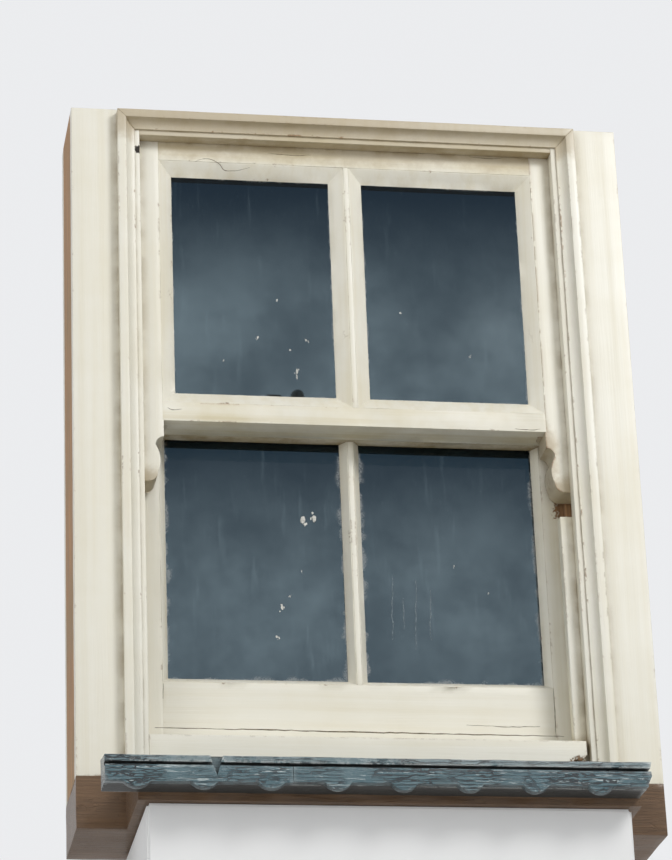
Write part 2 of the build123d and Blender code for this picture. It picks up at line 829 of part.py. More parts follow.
def pulley_case(mid):
    """Cast case at the right: face plate, two cheeks joined by a cap, and the axle."""
    reach = wheel_rim_radius + plate_margin
    plate_back = half_opening + plate_thick
    side_y = case_half + case_wall
    slot_half = sqrt(wheel_rim_radius ** 2 - (wheel_x - plate_back) ** 2) + slot_margin
    with BuildPart() as piece:
        with BuildSketch(Plane.XZ.offset(-mid - side_y)):
            with Locations((wheel_x, wheel_level)):
                Circle(case_radius)
            with Locations(((plate_back + wheel_x) / 2, wheel_level)):
                Rectangle(wheel_x - plate_back, 2 * case_radius)
            with Locations((plate_back - 2 * case_radius, wheel_level)):
                Rectangle(4 * case_radius, 4 * case_radius, mode=Mode.SUBTRACT)
        extrude(amount=2 * side_y)
        add(board(half_opening, plate_back, mid - plate_width / 2, mid + plate_width / 2,
                  wheel_level - reach, wheel_level + reach))
        with BuildSketch(Plane.XZ.offset(-mid - case_half)):
            with Locations((wheel_x, wheel_level)):
                Circle(case_radius - case_wall / 2)
            with Locations((plate_back - 2 * case_radius, wheel_level)):
                Rectangle(4 * case_radius, 4 * case_radius, mode=Mode.SUBTRACT)
            with Locations((half_opening + plate_thick / 2, wheel_level)):
                Rectangle(2 * plate_thick, 2 * slot_half)
            with Locations((wheel_x + case_radius / 2, wheel_level - case_radius / 2)):
                Rectangle(case_radius, case_radius)
        extrude(amount=2 * case_half, mode=Mode.SUBTRACT)
        with BuildSketch(Plane.XZ.offset(-mid - side_y)):
            with Locations((wheel_x, wheel_level)):
                Circle(axle_dia / 2)
        extrude(amount=2 * side_y)
        for z in plate_screw_levels:
            add(screw_space((half_opening, mid, z), (-1, 0, 0), screw_play), mode=Mode.SUBTRACT)
    return piece.part


def pulley_wheel(mid):
    """Grooved wheel with a bored hub, turned in one piece."""
    rim = wheel_rim_radius
    floor = wheel_groove_radius
    bore = axle_dia / 2 + axle_play
    half = wheel_width / 2
    lip = (wheel_width - cord_dia) / 2 - cord_clear
    with BuildPart() as piece:
        with BuildSketch(Plane.XY):
            with BuildLine():
                Line((bore, -half), (rim, -half))
                Line((rim, -half), (rim, -half + lip * 0.5))
                Line((rim, -half + lip * 0.5), (floor + cord_dia / 2, -half + lip))
                ThreePointArc(
                    (floor + cord_dia / 2, -half + lip), (floor, 0),
                    (floor + cord_dia / 2, half - lip))
                Line((floor + cord_dia / 2, half - lip), (rim, half - lip * 0.5))
                Line((rim, half - lip * 0.5), (rim, half))
                Line((rim, half), (bore, half))
                Line((bore, half), (bore, -half))
            make_face()
        revolve(axis=Axis.Y)
    with BuildPart() as placed:
        with Locations((wheel_x, mid, wheel_level)):
            add(piece.part)
    return placed.part


def cord_run(mid, x, low):
    """Straight run of cord that hangs from the wheel."""
    with BuildPart() as run:
        with BuildSketch(Plane.XY.offset(low)):
            with Locations((x, mid)):
                Circle(cord_dia / 2)
        extrude(amount=wheel_level - low)
    return run.part


def cord_bend(mid):
    """Half turn of cord over the wheel."""
    with BuildPart() as bend:
        with BuildSketch(Plane.XY.offset(wheel_level)):
            with Locations((cord_x, mid)):
                Circle(cord_dia / 2)
        revolve(axis=Axis((wheel_x, mid, wheel_level), (0, 1, 0)), revolution_arc=180)
    return bend.part


def sash_weight(mid, foot, length):
    """Cast iron weight with a rounded foot and a waisted eye at its top."""
    radius = weight_dia / 2
    with BuildPart() as piece:
        with BuildSketch(Plane.XZ):
            with BuildLine():
                curl = weight_round * (1 - sqrt(0.5))
                neck = length - weight_neck_height
                Line((0, 0), (radius - weight_round, 0))
                ThreePointArc((radius - weight_round, 0), (radius - curl, curl), (radius, weight_round))
                Line((radius, weight_round), (radius, neck - weight_shoulder))
                ThreePointArc(
                    (radius, neck - weight_shoulder),
                    ((radius + weight_neck_half) / 2, neck - weight_shoulder * 0.3),
                    (weight_neck_half, neck))
                Line((weight_neck_half, neck), (weight_neck_half, length))
                Line((weight_neck_half, length), (0, length))
                Line((0, length), (0, 0))
            make_face()
        revolve(axis=Axis.Z)
    with BuildPart() as placed:
        with Locations((weight_x, mid, foot)):
            add(piece.part)
    return placed.part


def screw_space(head, out, play=0.0):
    """The room that a countersunk screw takes, from the middle of its head inwards."""
    shank = screw_dia / 2 + play
    with BuildPart() as body:
        with BuildSketch(Plane.XZ):
            with BuildLine():
                Polyline(
                    (0, 0), (screw_head_dia / 2 + play, 0), (shank, -screw_sink),
                    (shank, screw_point - screw_length), (0, -screw_length), close=True)
            make_face()
        revolve(axis=Axis.Z)
    with BuildPart() as placed:
        with Locations(Plane(origin=head, z_dir=out)):
            add(body.part)
    return placed.part


def screw(head, out):
    """Slotted countersunk screw."""
    with BuildPart() as piece:
        add(screw_space(head, out))
        with BuildSketch(Plane(origin=head, z_dir=out)):
            Rectangle(screw_head_dia, screw_slot)
        extrude(amount=-screw_slot, mode=Mode.SUBTRACT)
    return piece.part


def screwed(piece, heads, out, play=0.0):
    """A piece with the holes of its screws, close in timber and with play in metal."""
    with BuildPart() as drilled:
        add(piece)
        for head in heads:
            add(screw_space(head, out, play), mode=Mode.SUBTRACT)
    return drilled.part


def fitting(plate, heads, out):
    """A fitting with its countersunk holes, and the screws in them."""
    return group(screwed(plate, heads, out, screw_play), *(screw(head, out) for head in heads))


def fastener_base():
    """Plate screwed to the lower meeting rail, with the post the lever turns on."""
    lever_top = hook_z + lever_thick
    with BuildPart() as piece:
        with BuildSketch(Plane.XY.offset(meeting_level)):
            with Locations((fastener_x, fastener_y)):
                RectangleRounded(fastener_plate_length, fastener_plate_width, fastener_plate_round)
        extrude(amount=fastener_plate_thick)
        for z0, z1, dia in (
                (fastener_top, fastener_top + post_height, post_dia),
                (fastener_top, lever_top + lever_lift, pivot_dia),
                (lever_top + lever_lift, lever_top + lever_lift + cap_thick, post_dia - 2 * cap_step)):
            with BuildSketch(Plane.XY.offset(z0)):
                with Locations((fastener_x, fastener_y)):
                    Circle(dia / 2)
            extrude(amount=z1 - z0)
    return piece.part


def fastener_lever():
    """Lever with a hook end on one side and a stemmed knob on the other."""
    knob_z = meeting_level + knob_centre_rise
    knob_x = fastener_x + knob_reach
    tip_x = fastener_x - nose_length + lever_width / 2
    with BuildPart() as piece:
        with BuildSketch(Plane.XY.offset(hook_z)):
            with Locations((fastener_x, fastener_y)):
                Circle(post_dia / 2)
            with Locations(((knob_x + tip_x) / 2, fastener_y)):
                Rectangle(knob_x - tip_x, lever_width)
            with Locations((knob_x, fastener_y), (tip_x, fastener_y)):
                Circle(lever_width / 2)
            with Locations((fastener_x, fastener_y)):
                Circle(pivot_dia / 2 + axle_play, mode=Mode.SUBTRACT)
        extrude(amount=lever_thick)
        with BuildSketch(Plane.XY.offset(hook_z)):
            with Locations((knob_x, fastener_y)):
                Circle(knob_stem_dia / 2)
        extrude(amount=knob_z - hook_z)
        with Locations((knob_x, fastener_y, knob_z)):
            Sphere(knob_dia / 2)
    return piece.part


def fastener_keep():
    """Keep on the upper meeting rail: one ear holds a bridge that the hook end turns in under."""
    y0 = fastener_y - nose_length - keep_gap
    y1 = outer_y1 + meeting_reach - keep_setback
    bay_half = lever_width / 2 + keep_bay_play
    top = hook_z + lever_thick + keep_gap
    ear_x = fastener_x + bay_half + keep_wall
    with BuildPart() as piece:
        add(board(fastener_x - keep_length / 2, fastener_x + keep_length / 2, y0, y1, meeting_level,
                  fastener_top))
        add(board(ear_x - keep_wall, ear_x, y0, y1, meeting_level, top + keep_wall))
        add(board(fastener_x - bay_half, ear_x, y0, y1, top, top + keep_wall))
    return piece.part


def sash_lift(x):
    """Hook lift for the bottom rail, its lip turned up for the fingers."""
    low = lower_foot + lift_rise
    hook_low = low + lift_inset
    hook_y = inner_y1 + lift_hook
    with BuildPart() as piece:
        with BuildSketch(Plane.XZ.offset(-inner_y1 - lift_plate)):
            with Locations((x, low + lift_height / 2)):
                RectangleRounded(lift_width, lift_height, lift_round)
        extrude(amount=lift_plate)
        with BuildSketch(Plane.YZ.offset(x - lift_width / 2 + lift_inset)):
            with BuildLine():
                Polyline(
                    (inner_y1 + lift_plate, hook_low), (hook_y, hook_low),
                    (hook_y + lift_lip, hook_low + lift_lip_height),
                    (hook_y, hook_low + lift_lip_height), (hook_y - lift_lip, hook_low + lift_hook_thick),
                    (inner_y1 + lift_plate, hook_low + lift_hook_thick), close=True)
            make_face()
        extrude(amount=lift_width - 2 * lift_inset)
    return piece.part


# Places of the screws
up, inwards = (0, 0, 1), (0, 1, 0)
plate_screw_drop = wheel_rim_radius + plate_margin / 2
plate_screw_levels = (wheel_level - plate_screw_drop, wheel_level + plate_screw_drop)
base_screws = [
    (fastener_x + hand * (fastener_plate_length / 2 - screw_head_dia), fastener_y, fastener_top)
    for hand in (LEFT, RIGHT)]
keep_screw_y = outer_y1 + meeting_reach - keep_setback - screw_head_dia
keep_screws = [
    (fastener_x + hand * (keep_length / 2 - screw_head_dia / 2 - lever_lift), keep_screw_y, fastener_top)
    for hand in (LEFT, RIGHT)]
lift_screw_z = lower_foot + lift_rise + lift_height - screw_head_dia
lift_screws = [
    (middle + hand * lift_width / 4, inner_y1 + lift_plate, lift_screw_z)
    for middle in (-lift_spread, lift_spread) for hand in (LEFT, RIGHT)]

# Sills
sub_sill_body = sub_sill()
save(sub_sill_body, "sub_sill")
save(apron(-nose_left, apron_joint, apron_step), "scalloped_apron_short")
save(apron(apron_joint, nose_right, 0.0), "scalloped_apron_long")
save(timber_sill(), "timber_sill")

# Box frame
save(board(-back_x, back_x, lining_thick, inside_y0, head_soffit, frame_top), "head_board")
save(board(-lining_arris_x, lining_arris_x, 0, lining_thick, lining_arris_z, frame_top),
     "outside_lining_head")
save(board(-half_opening, half_opening, inside_y0, inside_y1, head_soffit, frame_top),
     "inside_lining_head")
head_bead = board(
    -half_opening + parting_width, half_opening - parting_width, parting_y0, parting_y1,
    head_soffit - parting_width + parting_groove, head_soffit, arris)
save(group(head_bead, *(parting_bead(hand) for word, hand in sides)), "parting_beads")
save(group(brick_mould_head(), *(brick_mould_side(hand) for word, hand in sides)), "brick_mould")
for word, hand in sides:
    save(pulley_stile(hand), f"pulley_stile_{word}")
    save(side_board(hand, lining_arris_x, frame_half, 0, lining_thick, sub_sill_back, frame_top),
         f"outside_lining_{word}")
    save(side_board(hand, half_opening, frame_half, inside_y0, inside_y1, sub_sill_back, frame_top),
         f"inside_lining_{word}")
    save(side_board(hand, back_x, frame_half, lining_thick, inside_y0, sub_sill_back, frame_top),
         f"back_lining_{word}")
    save(staff_bead(hand), f"staff_bead_{word}")
    save(mirrored(pocket_shape(pocket_gap), hand), f"pocket_piece_{word}")
save(stop_batten(), "stop_batten")
bead_span = half_opening - staff_cover
save(board(-bead_span, bead_span, staff_y0, inside_y1, sill_back_z, sill_back_z + staff_sill_height,
           arris), "staff_bead_sill")
save(board(-bead_span, bead_span, staff_y0, inside_y1, head_soffit - staff_cover, head_soffit, arris),
     "staff_bead_head")
slip_y = (parting_y0 + parting_y1) / 2
slips = [side_board(
    hand, pocket_x + slip_gap, back_x - slip_gap, slip_y - slip_thick / 2, slip_y + slip_thick / 2,
    sill_back_z + slip_rise, head_soffit) for word, hand in sides]
save(group(*slips), "parting_slips")

# Upper sash
top_span = (upper_sight_top, upper_top)
meeting_span = (meeting_foot, meeting_level)
upper_stiles = [sash_stile(hand, outer_y0, meeting_foot, upper_top, (top_span, meeting_span), True)
                for word, hand in sides]
save(upper_stiles[0], "upper_stile_left")
save(upper_stiles[1], "upper_stile_right")
upper_top_rail = rail(rail_section(outer_y0, upper_sight_top, upper_top), upper_stiles, outer_y0, *top_span)
save(upper_top_rail, "upper_top_rail")
with BuildPart() as upper_meeting_rail:
    add(rail(upper_meeting_section(), upper_stiles, outer_y0, *meeting_span))
    add(meeting_lap(True))
save(screwed(upper_meeting_rail.part, keep_screws, up), "upper_meeting_rail")
with BuildPart() as upper_glazing_bar:
    add(glazing_bar(outer_y0, meeting_level - moulding_width, upper_sight_top + moulding_width))
    add(upper_meeting_rail.part, mode=Mode.SUBTRACT)
    add(upper_top_rail, mode=Mode.SUBTRACT)
save(upper_glazing_bar.part, "upper_glazing_bar")
upper_panes, upper_putty = glazing(
    outer_y0, meeting_level - moulding_width, upper_sight_top + moulding_width, upper_putty_reach)
save(upper_panes, "upper_panes")
save(upper_putty, "upper_putty")

# Lower sash
bottom_span = (lower_foot + tenon_foot, lower_sight_foot)
lower_stiles = [sash_stile(hand, inner_y0, sill_front_z, meeting_level, (meeting_span, bottom_span), False)
                for word, hand in sides]
save(lower_stiles[0], "lower_stile_left")
save(lower_stiles[1], "lower_stile_right")
with BuildPart() as lower_bottom_rail:
    add(rail(rail_section(inner_y0, lower_sight_foot, sill_front_z), lower_stiles, inner_y0, *bottom_span))
    add(sill_space_for_sash(), mode=Mode.SUBTRACT)
save(screwed(lower_bottom_rail.part, lift_screws, inwards), "lower_bottom_rail")
with BuildPart() as lower_meeting_rail:
    add(rail(lower_meeting_section(), lower_stiles, inner_y0, *meeting_span))
    add(meeting_lap(False))
save(screwed(lower_meeting_rail.part, base_screws, up), "lower_meeting_rail")
with BuildPart() as lower_glazing_bar:
    add(glazing_bar(inner_y0, lower_sight_foot - moulding_width, meeting_foot + moulding_width))
    add(lower_meeting_rail.part, mode=Mode.SUBTRACT)
    add(lower_bottom_rail.part, mode=Mode.SUBTRACT)
save(lower_glazing_bar.part, "lower_glazing_bar")
lower_panes, lower_putty = glazing(
    inner_y0, lower_sight_foot - moulding_width, meeting_foot, lower_putty_reach, moulding_width)
save(lower_panes, "lower_panes")
save(lower_putty, "lower_putty")

# Pulleys, cords and weights
cases = []
bends = []
for place, mid_y, foot, length, sash_top in (
        ("upper", outer_mid, upper_weight_foot, upper_weight_length, upper_top),
        ("lower", inner_mid, lower_weight_foot, lower_weight_length, meeting_level)):
    runs = []
    for word, hand in sides:
        cases.append(mirrored(pulley_case(mid_y), hand))
        cases += [mirrored(screw((half_opening, mid_y, z), (-1, 0, 0)), hand) for z in plate_screw_levels]
        bends.append(mirrored(cord_bend(mid_y), hand))
        runs.append(mirrored(cord_run(mid_y, cord_x, sash_top - cord_end_drop), hand))
        save(mirrored(pulley_wheel(mid_y), hand), f"{place}_pulley_wheel_{word}")
        save(mirrored(sash_weight(mid_y, foot, length), hand), f"{place}_weight_{word}")
        save(mirrored(cord_run(mid_y, weight_x, foot + length), hand), f"{place}_weight_cord_{word}")
    save(group(*runs), f"{place}_sash_cords")
save(group(*cases), "pulley_cases")
save(group(*bends), "cord_bends")

# Fastener and lifts
save(fitting(fastener_base(), base_screws, up), "fastener_base")
save(fastener_lever(), "fastener_lever")
save(fitting(fastener_keep(), keep_screws, up), "fastener_keep")
save(fitting(group(sash_lift(-lift_spread), sash_lift(lift_spread)), lift_screws, inwards), "sash_lifts")
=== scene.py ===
"""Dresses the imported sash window: old oil paint, dusty drawn glass, a crackled blue
sill, ropes and ironmongery, and a pale studio round it."""
import json
import math

import bmesh
import bpy
from bpy.props import FloatProperty, FloatVectorProperty, PointerProperty
from mathutils import Matrix, Vector, noise

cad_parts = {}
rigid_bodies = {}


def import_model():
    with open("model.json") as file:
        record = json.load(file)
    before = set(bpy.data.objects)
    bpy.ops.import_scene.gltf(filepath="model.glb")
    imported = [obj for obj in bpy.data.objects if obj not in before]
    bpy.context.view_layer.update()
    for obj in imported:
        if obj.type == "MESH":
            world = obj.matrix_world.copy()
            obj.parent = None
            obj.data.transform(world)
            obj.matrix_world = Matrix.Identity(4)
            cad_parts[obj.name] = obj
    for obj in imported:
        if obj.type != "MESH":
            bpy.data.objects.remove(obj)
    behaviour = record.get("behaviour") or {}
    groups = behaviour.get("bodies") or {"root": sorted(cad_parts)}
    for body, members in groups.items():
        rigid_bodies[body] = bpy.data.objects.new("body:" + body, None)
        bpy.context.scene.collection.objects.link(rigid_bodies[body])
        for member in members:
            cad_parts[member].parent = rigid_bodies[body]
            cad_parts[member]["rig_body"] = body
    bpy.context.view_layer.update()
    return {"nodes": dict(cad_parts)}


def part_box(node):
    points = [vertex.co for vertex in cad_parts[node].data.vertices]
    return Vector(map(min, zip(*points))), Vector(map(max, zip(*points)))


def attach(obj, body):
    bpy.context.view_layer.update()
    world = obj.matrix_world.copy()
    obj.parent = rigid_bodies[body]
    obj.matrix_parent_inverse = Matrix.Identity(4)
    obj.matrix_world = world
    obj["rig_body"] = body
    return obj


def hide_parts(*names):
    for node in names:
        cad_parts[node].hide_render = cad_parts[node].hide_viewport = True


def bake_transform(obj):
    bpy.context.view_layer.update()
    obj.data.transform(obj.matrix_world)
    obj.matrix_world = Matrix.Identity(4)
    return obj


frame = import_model()
nodes = frame["nodes"]

bl_info = {
    "name": "Sash Window Dressing",
    "version": (1, 0, 0),
    "blender": (4, 5, 0),
    "location": "View3D > Sidebar > Sash Window",
    "description": "Paint, glass, cords and stage for a box sash window",
    "category": "Object",
}

MM = 0.001
# How much noise is squeezed along x, y and z for strokes that run upright or level
UPRIGHT = (520.0, 520.0, 14.0)
LEVEL = (14.0, 520.0, 520.0)

# Shaping: turns in degrees, where faces flatter than the first are joined, and edges sharper
# than the others are rounded or stay hard
FLAT_TURN = 0.6
ROUNDED_TURN = 35
HARD_TURN = 40
# Sides of a piece longer than this are cut into short lengths before they are shaped
LONG_SIDE = 0.03
WELD = 1e-6

# Finishes: half the length of the sill's top that is painted behind its nose, the glass's
# index of refraction, and colours that no setting changes
PAINTED_HALF = 0.2745
OLD_GLASS_INDEX = 1.25
# Brown of stains, and of the painted shade along the head
STAIN_AND_SHADE_BROWN = (0.36, 0.26, 0.12, 1.0)
# Black of a rot hole: rotted timber and painted shade inside the hole
ROT_AND_HOLE_SHADE = (0.02, 0.015, 0.01, 1.0)
BLUE_WORN = (0.075, 0.145, 0.165, 1.0)
BLUE_FADED = (0.21, 0.27, 0.28, 1.0)
# Painted shade between the sill's ribs and painted highlights on them
BLUE_HOLLOW_SHADE = (0.018, 0.035, 0.045, 1.0)
BLUE_RIB_HIGHLIGHT = (0.56, 0.64, 0.64, 1.0)
BLUE_CHIPPED = (0.55, 0.58, 0.56, 1.0)
SILL_CRACK = (0.012, 0.02, 0.025, 1.0)
# Nearly black dirt and painted shade on the sill
SILL_DIRT_AND_SHADE = (0.022, 0.022, 0.02, 1.0)
# Dark dirt and painted shade on the metal
METAL_DIRT_AND_SHADE = (0.03, 0.025, 0.02, 1.0)
CORD_DARK = (0.26, 0.21, 0.14, 1.0)
CORD_LIGHT = (0.55, 0.49, 0.36, 1.0)
CORD_SOIL = (0.18, 0.15, 0.10, 1.0)

# Stage: where the lamps point, the tones of floor and plinth, and the pale background
STAGE_MIDDLE = (0.0, 0.0, 0.4)
STAGE_TONES = ((0.72, 0.72, 0.71, 1.0), (0.76, 0.76, 0.75, 1.0))
DAYLIGHT = (0.97, 0.98, 1.0, 1.0)
BACKGROUND_LEVEL = 0.86


# Property groups


class PaintSettings(bpy.types.PropertyGroup):
    ivory: FloatVectorProperty(
        name="Ivory paint", description="Top coat on frame and sashes", subtype="COLOR",
        size=4, min=0.0, max=1.0, default=(0.86, 0.835, 0.735, 1.0))
    aged: FloatVectorProperty(
        name="Yellowed paint", description="Where the oil paint has gone yellow", subtype="COLOR",
        size=4, min=0.0, max=1.0, default=(0.70, 0.63, 0.44, 1.0))
    # Colour of dirt and of painted shade in corners and under ledges; cracks and timber stains use it too
    grime_and_shade: FloatVectorProperty(
        name="Grime", description="Dirt and painted shade in corners and under ledges", subtype="COLOR",
        size=4, min=0.0, max=1.0, default=(0.30, 0.225, 0.115, 1.0))
    timber: FloatVectorProperty(
        name="Bare timber", description="Softwood where the paint is gone", subtype="COLOR",
        size=4, min=0.0, max=1.0, default=(0.17, 0.095, 0.045, 1.0))
    blue: FloatVectorProperty(
        name="Blue paint", description="Thick gloss paint on the sill", subtype="COLOR",
        size=4, min=0.0, max=1.0, default=(0.045, 0.112, 0.138, 1.0))
    softening: FloatProperty(
        name="Arris softening", description="Radius of the painted edges", subtype="DISTANCE",
        unit="LENGTH", min=0.0, max=0.003, default=0.65 * MM)
    unevenness: FloatProperty(
        name="Unevenness", description="How far old paint and hand planing leave a face out of true",
        subtype="DISTANCE", unit="LENGTH", min=0.0, max=0.002, default=0.22 * MM)


class GlassSettings(bpy.types.PropertyGroup):
    # Painted shade: the glass is made nearly black, as dark as glass with a dim interior behind it
    dark: FloatVectorProperty(
        name="Glass dark as painted shade", description="Clean glass, dark as it looks from outside", subtype="COLOR",
        size=4, min=0.0, max=1.0, default=(0.0050, 0.0180, 0.0330, 1.0))
    dust: FloatVectorProperty(
        name="Dust film", description="Dusty glass", subtype="COLOR",
        size=4, min=0.0, max=1.0, default=(0.185, 0.250, 0.280, 1.0))
    smear: FloatVectorProperty(
        name="Smears", description="Putty and paint dragged on to the glass", subtype="COLOR",
        size=4, min=0.0, max=1.0, default=(0.50, 0.50, 0.47, 1.0))
    ripple: FloatProperty(
        name="Ripple", description="Depth of the waves in drawn glass", subtype="DISTANCE",
        unit="LENGTH", min=0.0, max=0.002, default=0.3 * MM)


class StageSettings(bpy.types.PropertyGroup):
    floor_drop: FloatProperty(
        name="Floor drop", description="How far the floor lies below the window's sill",
        subtype="DISTANCE", unit="LENGTH", min=0.2, max=4.0, default=1.35)
    key_power: FloatProperty(
        name="Key light", description="Power of the soft light at the upper right",
        min=0.0, max=500.0, default=95.0)
    fill_power: FloatProperty(
        name="Fill light", description="Power of the soft light at the left",
        min=0.0, max=500.0, default=28.0)
    surround: FloatProperty(
        name="Surround", description="Brightness of the even light from all round",
        min=0.0, max=2.0, default=0.42)


# Node trees


def put(tree, kind, values=(), **settings):
    """Add a node, set its attributes, and set or link its inputs by name or number."""
    node = tree.nodes.new(kind)
    for key, value in settings.items():
        setattr(node, key, value)
    for key, value in dict(values).items():
        socket = node.inputs[key]
        if isinstance(value, bpy.types.NodeSocket):
            tree.links.new(value, socket)
        else:
            socket.default_value = value
    return node


def maths(tree, operation, first, second=0.5, clamp=False):
    """One sum, product or comparison of two values."""
    return put(
        tree, "ShaderNodeMath", {0: first, 1: second}, operation=operation, use_clamp=clamp).outputs[0]


def scaled(tree, vector, factors):
    """A vector times a factor for each axis."""
    return put(tree, "ShaderNodeVectorMath", {0: vector, 1: factors}, operation="MULTIPLY").outputs[0]


def mixed(tree, mask, low, high):
    """The low colour where the mask is 0 and the high one where it is 1."""
    node = put(tree, "ShaderNodeMix", data_type="RGBA")
    for name, value in (("Factor_Float", mask), ("A_Color", low), ("B_Color", high)):
        socket = next(s for s in node.inputs if s.identifier == name)
        if isinstance(value, bpy.types.NodeSocket):
            tree.links.new(value, socket)
        else:
            socket.default_value = value
    return next(s for s in node.outputs if s.identifier == "Result_Color")


def stretched(tree, value, low, high):
    """Map a value from low..high to 0..1 with soft ends."""
    return put(
        tree, "ShaderNodeMapRange", {"Value": value, "From Min": low, "From Max": high},
        interpolation_type="SMOOTHSTEP").outputs[0]


def cloud(tree, vector, scale, detail=3.0, roughness=0.55):
    """Noise from 0 to 1."""
    return put(
        tree, "ShaderNodeTexNoise",
        {"Vector": vector, "Scale": scale, "Detail": detail, "Roughness": roughness}).outputs["Fac"]


def place(tree):
    """The place on the piece, in metres."""
    return put(tree, "ShaderNodeTexCoord").outputs["Object"]


def group_tree(name, inputs, outputs):
    """An empty shader group with typed sockets, and its two ends."""
    tree = bpy.data.node_groups.new(name, "ShaderNodeTree")
    for label, kind, value in inputs:
        socket = tree.interface.new_socket(name=label, in_out="INPUT", socket_type=kind)
        socket.default_value = value
    for label, kind in outputs:
        tree.interface.new_socket(name=label, in_out="OUTPUT", socket_type=kind)
    start = tree.nodes.new("NodeGroupInput").outputs
    end = tree.nodes.new("NodeGroupOutput").inputs
    return tree, start, end


def brush_group():
    """Long soft ridges that a brush leaves, as a height from 0 to 1."""
    tree, start, end = group_tree(
        "Brush Strokes",
        [("Stretch", "NodeSocketVector", UPRIGHT), ("Lumps", "NodeSocketFloat", 0.4)],
        [("Height", "NodeSocketFloat")])
    where = place(tree)
    fine = cloud(tree, scaled(tree, where, start["Stretch"]), 1.0, 2.0)
    lumps = cloud(tree, where, 55.0, 2.0)
    height = maths(tree, "ADD", fine, maths(tree, "MULTIPLY", lumps, start["Lumps"]))
    tree.links.new(maths(tree, "MULTIPLY", height, 0.7), end["Height"])
    return tree


def grime_and_shade_group():
    """Dirt and painted shade held in corners and under ledges, as a mask."""
    tree, start, end = group_tree(
        "Crevice Grime And Shade",
        [("Reach", "NodeSocketFloat", 0.012), ("Corners", "NodeSocketFloat", 0.8),
         ("Undersides", "NodeSocketFloat", 0.5)],
        [("Mask", "NodeSocketFloat")])
    where = place(tree)
    # Painted shade: darker where ambient occlusion finds the surface hemmed in
    hollow = put(
        tree, "ShaderNodeAmbientOcclusion", {"Distance": start["Reach"]}, samples=4).outputs["AO"]
    corner = maths(tree, "MULTIPLY", maths(tree, "SUBTRACT", 1.0, hollow, True), start["Corners"])
    patchy = stretched(tree, cloud(tree, where, 38.0, 4.0), 0.32, 0.68)
    corner = maths(tree, "MULTIPLY", corner, maths(tree, "ADD", patchy, 0.35))
    # Painted shade: faces that look downwards are darkened, in blotches
    normal = put(tree, "ShaderNodeNewGeometry").outputs["Normal"]
    down = put(tree, "ShaderNodeSeparateXYZ", {0: normal}).outputs["Z"]
    under = stretched(tree, maths(tree, "MULTIPLY", down, -1.0), 0.45, 0.9)
    blotch = stretched(tree, cloud(tree, where, 22.0, 5.0, 0.65), 0.30, 0.70)
    under = maths(tree, "MULTIPLY", maths(tree, "MULTIPLY", under, start["Undersides"]),
                  maths(tree, "ADD", maths(tree, "MULTIPLY", blotch, 0.6), 0.4))
    tree.links.new(maths(tree, "MAXIMUM", corner, under, True), end["Mask"])
    return tree


def wear_group():
    """Chips along the arrises where the paint has come off, as a mask."""
    tree, start, end = group_tree(
        "Arris Wear",
        [("Reach", "NodeSocketFloat", 0.003), ("Amount", "NodeSocketFloat", 0.3)],
        [("Mask", "NodeSocketFloat")])
    where = place(tree)
    solid = put(
        tree, "ShaderNodeAmbientOcclusion", {"Distance": start["Reach"]}, samples=4, inside=True
    ).outputs["AO"]
    edge = maths(tree, "SUBTRACT", 1.0, stretched(tree, solid, 0.55, 0.85), True)
    speck = cloud(tree, where, 85.0, 4.0, 0.7)
    broad = cloud(tree, where, 9.0, 2.0)
    level = maths(tree, "ADD", maths(tree, "MULTIPLY", speck, 0.6), maths(tree, "MULTIPLY", broad, 0.4))
    raised = maths(tree, "ADD", level, maths(tree, "MULTIPLY", start["Amount"], 0.25))
    gate = stretched(tree, raised, 0.62, 0.68)
    tree.links.new(maths(tree, "MULTIPLY", edge, gate, True), end["Mask"])
    return tree


def crack_group():
    """Fine cracks in stretched cells, gated so that they come in patches, as a mask."""
    tree, start, end = group_tree(
        "Paint Cracks",
        [("Stretch", "NodeSocketVector", (60.0, 60.0, 60.0)), ("Width", "NodeSocketFloat", 0.03),
         ("Patches", "NodeSocketFloat", 0.5)],
        [("Mask", "NodeSocketFloat")])
    where = place(tree)
    bent = put(tree, "ShaderNodeVectorMath", {
        0: scaled(tree, where, start["Stretch"]),
        1: scaled(tree, put(tree, "ShaderNodeTexNoise", {"Vector": where, "Scale": 90.0}).outputs["Color"],
                  (0.9, 0.9, 0.9))}, operation="ADD").outputs[0]
    cells = put(tree, "ShaderNodeTexVoronoi", {"Vector": bent, "Scale": 1.0}, feature="DISTANCE_TO_EDGE")
    line = maths(tree, "SUBTRACT", 1.0, stretched(
        tree, maths(tree, "DIVIDE", cells.outputs["Distance"], start["Width"]), 0.4, 1.0), True)
    patch = cloud(tree, where, 14.0, 3.0)
    gate = stretched(tree, maths(tree, "ADD", patch, start["Patches"]), 1.0, 1.15)
    tree.links.new(maths(tree, "MULTIPLY", line, gate, True), end["Mask"])
    return tree


def patch_group():
    """A ragged patch round a point, as a mask."""
    tree, start, end = group_tree(
        "Ragged Patch",
        [("Centre", "NodeSocketVector", (0.0, 0.0, 0.0)), ("Size", "NodeSocketVector", (0.01, 0.01, 0.01)),
         ("Grain", "NodeSocketFloat", 330.0), ("Softness", "NodeSocketFloat", 0.15)],
        [("Mask", "NodeSocketFloat")])
    where = place(tree)
    off = put(tree, "ShaderNodeVectorMath", {0: where, 1: start["Centre"]}, operation="SUBTRACT").outputs[0]
    off = put(tree, "ShaderNodeVectorMath", {0: off, 1: start["Size"]}, operation="DIVIDE").outputs[0]
    far = put(tree, "ShaderNodeVectorMath", {0: off}, operation="LENGTH").outputs["Value"]
    ragged = maths(tree, "MULTIPLY", cloud(tree, where, start["Grain"], 5.0, 0.75), 2.2)
    rim = maths(tree, "ADD", start["Softness"], 1.8)
    faded = stretched(tree, maths(tree, "ADD", far, ragged), 1.8, rim)
    tree.links.new(maths(tree, "SUBTRACT", 1.0, faded, True), end["Mask"])
    return tree


